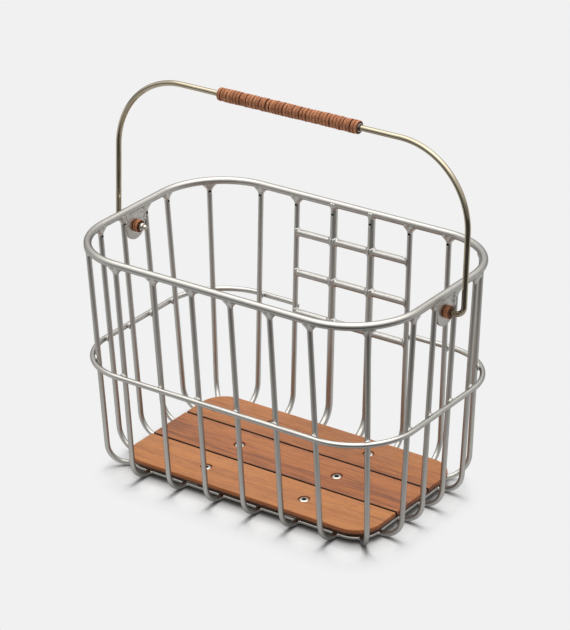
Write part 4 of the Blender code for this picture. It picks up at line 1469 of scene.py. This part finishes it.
class BASKET_OT_bail(bpy.types.Operator):
    """Bend the bail's wire and fit the collars on its tips"""

    bl_idname = "basket.bail"
    bl_label = "Bail and Collars"

    def execute(self, context):
        cage, bail = context.scene.basket_cage, context.scene.basket_bail
        stack = bail.plate_thickness / 2 + bail.washer_thickness + 2 * bail.seat_gap
        pivot_x = pivot_place(cage, bail, 1).x
        tip_x = pivot_x - stack - bail.collar_length - bail.tip_past_collar
        foot_x, top_x = bail.half_width - bail.foot_bend, bail.half_width - bail.corner_radius
        top_z = bail.reach - bail.corner_radius
        tip_step, leg_step, top_step = 0.003, 0.008, 0.01
        right = [(x, 0) for x in spaced(tip_x, foot_x, tip_step)[:-1]]
        right += arc(foot_x, bail.foot_bend, bail.foot_bend, -math.pi / 2, 0, 18)
        right += [(bail.half_width, z) for z in spaced(bail.foot_bend, top_z, leg_step)[1:-1]]
        right += arc(top_x, top_z, bail.corner_radius, 0, math.pi / 2, 40)
        left = [(-x, z) for x, z in right]
        top = [(x, bail.reach) for x in spaced(-top_x, top_x, top_step)[1:-1]]
        lay = bail_matrix(cage, bail)
        path = [lay @ Vector((x, 0, z)) for x, z in left + top + right[::-1]]
        piece = swept("bail_wire", [domed_ends(path, bail.wire_radius)], "polished_wire", sides=BAIL_SIDES)
        hand_over(piece, "bail", "polished_wire", "bail")

        r, run, bore = bail.collar_radius, bail.collar_length, bail.wire_radius + 0.00005
        profile = [(bore, 0), (r - 0.0004, 0), (r - 0.0001, 0.0001), (r, 0.0004), (r, run - 0.0009)]
        profile += [(r - 0.0003, run - 0.0004), (r - 0.0008, run - 0.0001), (bore, run)]
        for side, sign in SIDES:
            aim = Matrix.Rotation(-sign * math.pi / 2, 4, "Y")
            lay_collar = lay @ Matrix.Translation((sign * (pivot_x - stack), 0, 0)) @ aim
            mesh = clean_mesh(turned_shape(profile, 40, bored=True, matrix=lay_collar))
            piece = placed_piece(f"end_collar_{side}_ring", mesh, "bright_fastener")
            hand_over(piece, "bail", "bright_fastener", f"end_collar_{side}")
        return {"FINISHED"}


class BASKET_OT_grip(bpy.types.Operator):
    """Stack the leather discs on their metal sleeve"""

    bl_idname = "basket.grip"
    bl_label = "Leather Grip"

    def execute(self, context):
        cage, bail = context.scene.basket_cage, context.scene.basket_bail
        centre = bail_matrix(cage, bail) @ Vector((0, 0, bail.reach))
        half = bail.grip_length / 2
        inner = bail.wire_radius + bail.sleeve_clearance
        outer = inner + bail.sleeve_wall
        reach, ease, under_leather = half + bail.sleeve_proud, 0.0002, 0.00025
        profile = [(inner, -reach + ease), (inner, reach - ease), (inner + ease, reach)]
        profile += [(outer - ease, reach), (outer, reach - ease), (outer, -reach + ease)]
        profile += [(outer - ease, -reach), (inner + ease, -reach)]
        lay = Matrix.Translation(centre) @ Matrix.Rotation(math.pi / 2, 4, "Y")
        mesh = clean_mesh(turned_shape(profile, 40, bored=True, matrix=lay))
        piece = placed_piece("grip_sleeve_tube", mesh, "bright_fastener")
        hand_over(piece, "grip", "bright_fastener", "grip_sleeve")
        leather = leather_stack(
            "leather_discs",
            centre - Vector((half - bail.grip_ease, 0, 0)),
            bail.grip_length - bail.grip_ease,
            bail.discs,
            bail.grip_radius,
            outer + under_leather,
            barrel=1.0,
            seed=SEED,
            tilt=0.04,
            slip=0.1,
            least_tone=0.2,
        )
        hand_over(leather, "grip", "tan_leather", "leather_grip")
        return {"FINISHED"}


# The stage


def hang_lamp(name, place, size, power):
    """A square lamp that faces the basket and that no metal mirrors."""
    light = bpy.data.lights.new(name, "AREA")
    light.shape, light.size, light.energy = "SQUARE", size, power
    lamp = linked(name, light)
    lamp.location = place
    lamp.rotation_mode = "QUATERNION"
    lamp.rotation_quaternion = place.to_track_quat("Z", "Y")
    lamp.visible_glossy = False


def light_room(scene, stage):
    """The room: one brightness for metal, one for soft surfaces, and a plain backdrop for the camera."""
    scene.world = bpy.data.worlds.new("room")
    scene.world.use_nodes = True
    net = Net(scene.world.node_tree)
    # Up is 1, level is 0, and the low room is darker on the camera's side.
    aim = net.coordinates("Generated")
    height = aim.part(2)
    low = aim.dot(towards_camera(stage)).between(-0.1, 0.7, stage.room_back, stage.room_front)
    low = (low - stage.room_edge) * height.between(0.02, 0.3) + stage.room_edge
    metal = low + (stage.room_high - low) * height.between(0.15, 0.55)
    metal = metal + height.between(0.65, 0.80) * stage.room_shine
    soft = height.between(0.0, 0.5, 0.0, stage.room_soft)
    glow = (metal - soft) * net.ray("Is Glossy Ray") + soft
    background = net.tree.nodes["Background"]
    strength = glow + (stage.backdrop - glow) * net.ray("Is Camera Ray")
    net.put(background.inputs["Strength"], strength)
    net.put(background.inputs["Color"], (1, 1, 1, 1))


def set_camera(scene, stage):
    data = bpy.data.cameras.new("camera")
    data.lens, data.sensor_width, data.sensor_fit = stage.focal, SENSOR_WIDTH, "AUTO"
    data.clip_end = FARTHEST_SEEN
    az, el, roll = stage.azimuth, stage.elevation, stage.roll
    right = Vector((math.cos(az), math.sin(az), 0))
    back = Vector((math.sin(az) * math.cos(el), -math.cos(az) * math.cos(el), math.sin(el)))
    up = back.cross(right)
    across = right * math.cos(roll) + up * math.sin(roll)
    rise = up * math.cos(roll) - right * math.sin(roll)
    turn = Matrix((across, rise, back)).transposed().to_4x4()
    scene.camera = linked("camera", data)
    scene.camera.matrix_world = Matrix.Translation(stage.camera_place) @ turn


class BASKET_OT_stage(bpy.types.Operator):
    """Lay the floor, hang the lamps, light the room and set the camera"""

    bl_idname = "basket.stage"
    bl_label = "Studio and Camera"

    def execute(self, context):
        scene, stage = context.scene, context.scene.basket_stage
        shape = bmesh.new()
        bmesh.ops.create_grid(shape, x_segments=8, y_segments=8, size=FLOOR_HALF_SIZE)
        floor = placed_piece("floor", clean_mesh(shape), "studio_floor")
        behind = -Vector(towards_camera(stage)) * stage.key_behind
        hang_lamp("softbox", Vector((0, 0, stage.box_height)), stage.box_size, stage.box_power)
        hang_lamp("key", behind + Vector((0, 0, stage.key_height)), stage.key_size, stage.key_power)
        light_room(scene, stage)
        set_camera(scene, stage)
        scene.view_settings.view_transform = "Standard"
        return {"FINISHED"}


class BASKET_PT_panel(bpy.types.Panel):
    """Lists the basket's pieces and their sizes"""

    bl_idname = "BASKET_PT_panel"
    bl_label = "Basket"
    bl_space_type = "VIEW_3D"
    bl_region_type = "UI"
    bl_category = "Basket"

    def draw(self, context):
        for step in STEPS:
            self.layout.operator(step.bl_idname)
        for key in GROUPS:
            box = self.layout.box()
            settings = getattr(context.scene, key)
            for name in settings.bl_rna.properties.keys():
                if name not in ("rna_type", "name"):
                    box.prop(settings, name)


GROUPS = {
    "basket_cage": CageSizes,
    "basket_base": BaseSizes,
    "basket_bail": BailSizes,
    "basket_finishes": Finishes,
    "basket_stage": StageSizes,
}
STEPS = (
    BASKET_OT_rings,
    BASKET_OT_uprights,
    BASKET_OT_grid,
    BASKET_OT_beads,
    BASKET_OT_base,
    BASKET_OT_screws,
    BASKET_OT_pivots,
    BASKET_OT_bail,
    BASKET_OT_grip,
    BASKET_OT_stage,
)


def register():
    for kind in (*GROUPS.values(), *STEPS, BASKET_PT_panel):
        bpy.utils.register_class(kind)
    for key, kind in GROUPS.items():
        setattr(bpy.types.Scene, key, PointerProperty(type=kind))


def unregister():
    for key in GROUPS:
        delattr(bpy.types.Scene, key)
    for kind in (BASKET_PT_panel, *STEPS[::-1], *GROUPS.values()):
        bpy.utils.unregister_class(kind)


def main():
    register()
    bpy.ops.basket.rings()
    bpy.ops.basket.uprights()
    bpy.ops.basket.grid()
    bpy.ops.basket.beads()
    bpy.ops.basket.base()
    bpy.ops.basket.screws()
    bpy.ops.basket.pivots()
    bpy.ops.basket.bail()
    bpy.ops.basket.grip()
    bpy.ops.basket.stage()


if __name__ == "__main__":
    main()
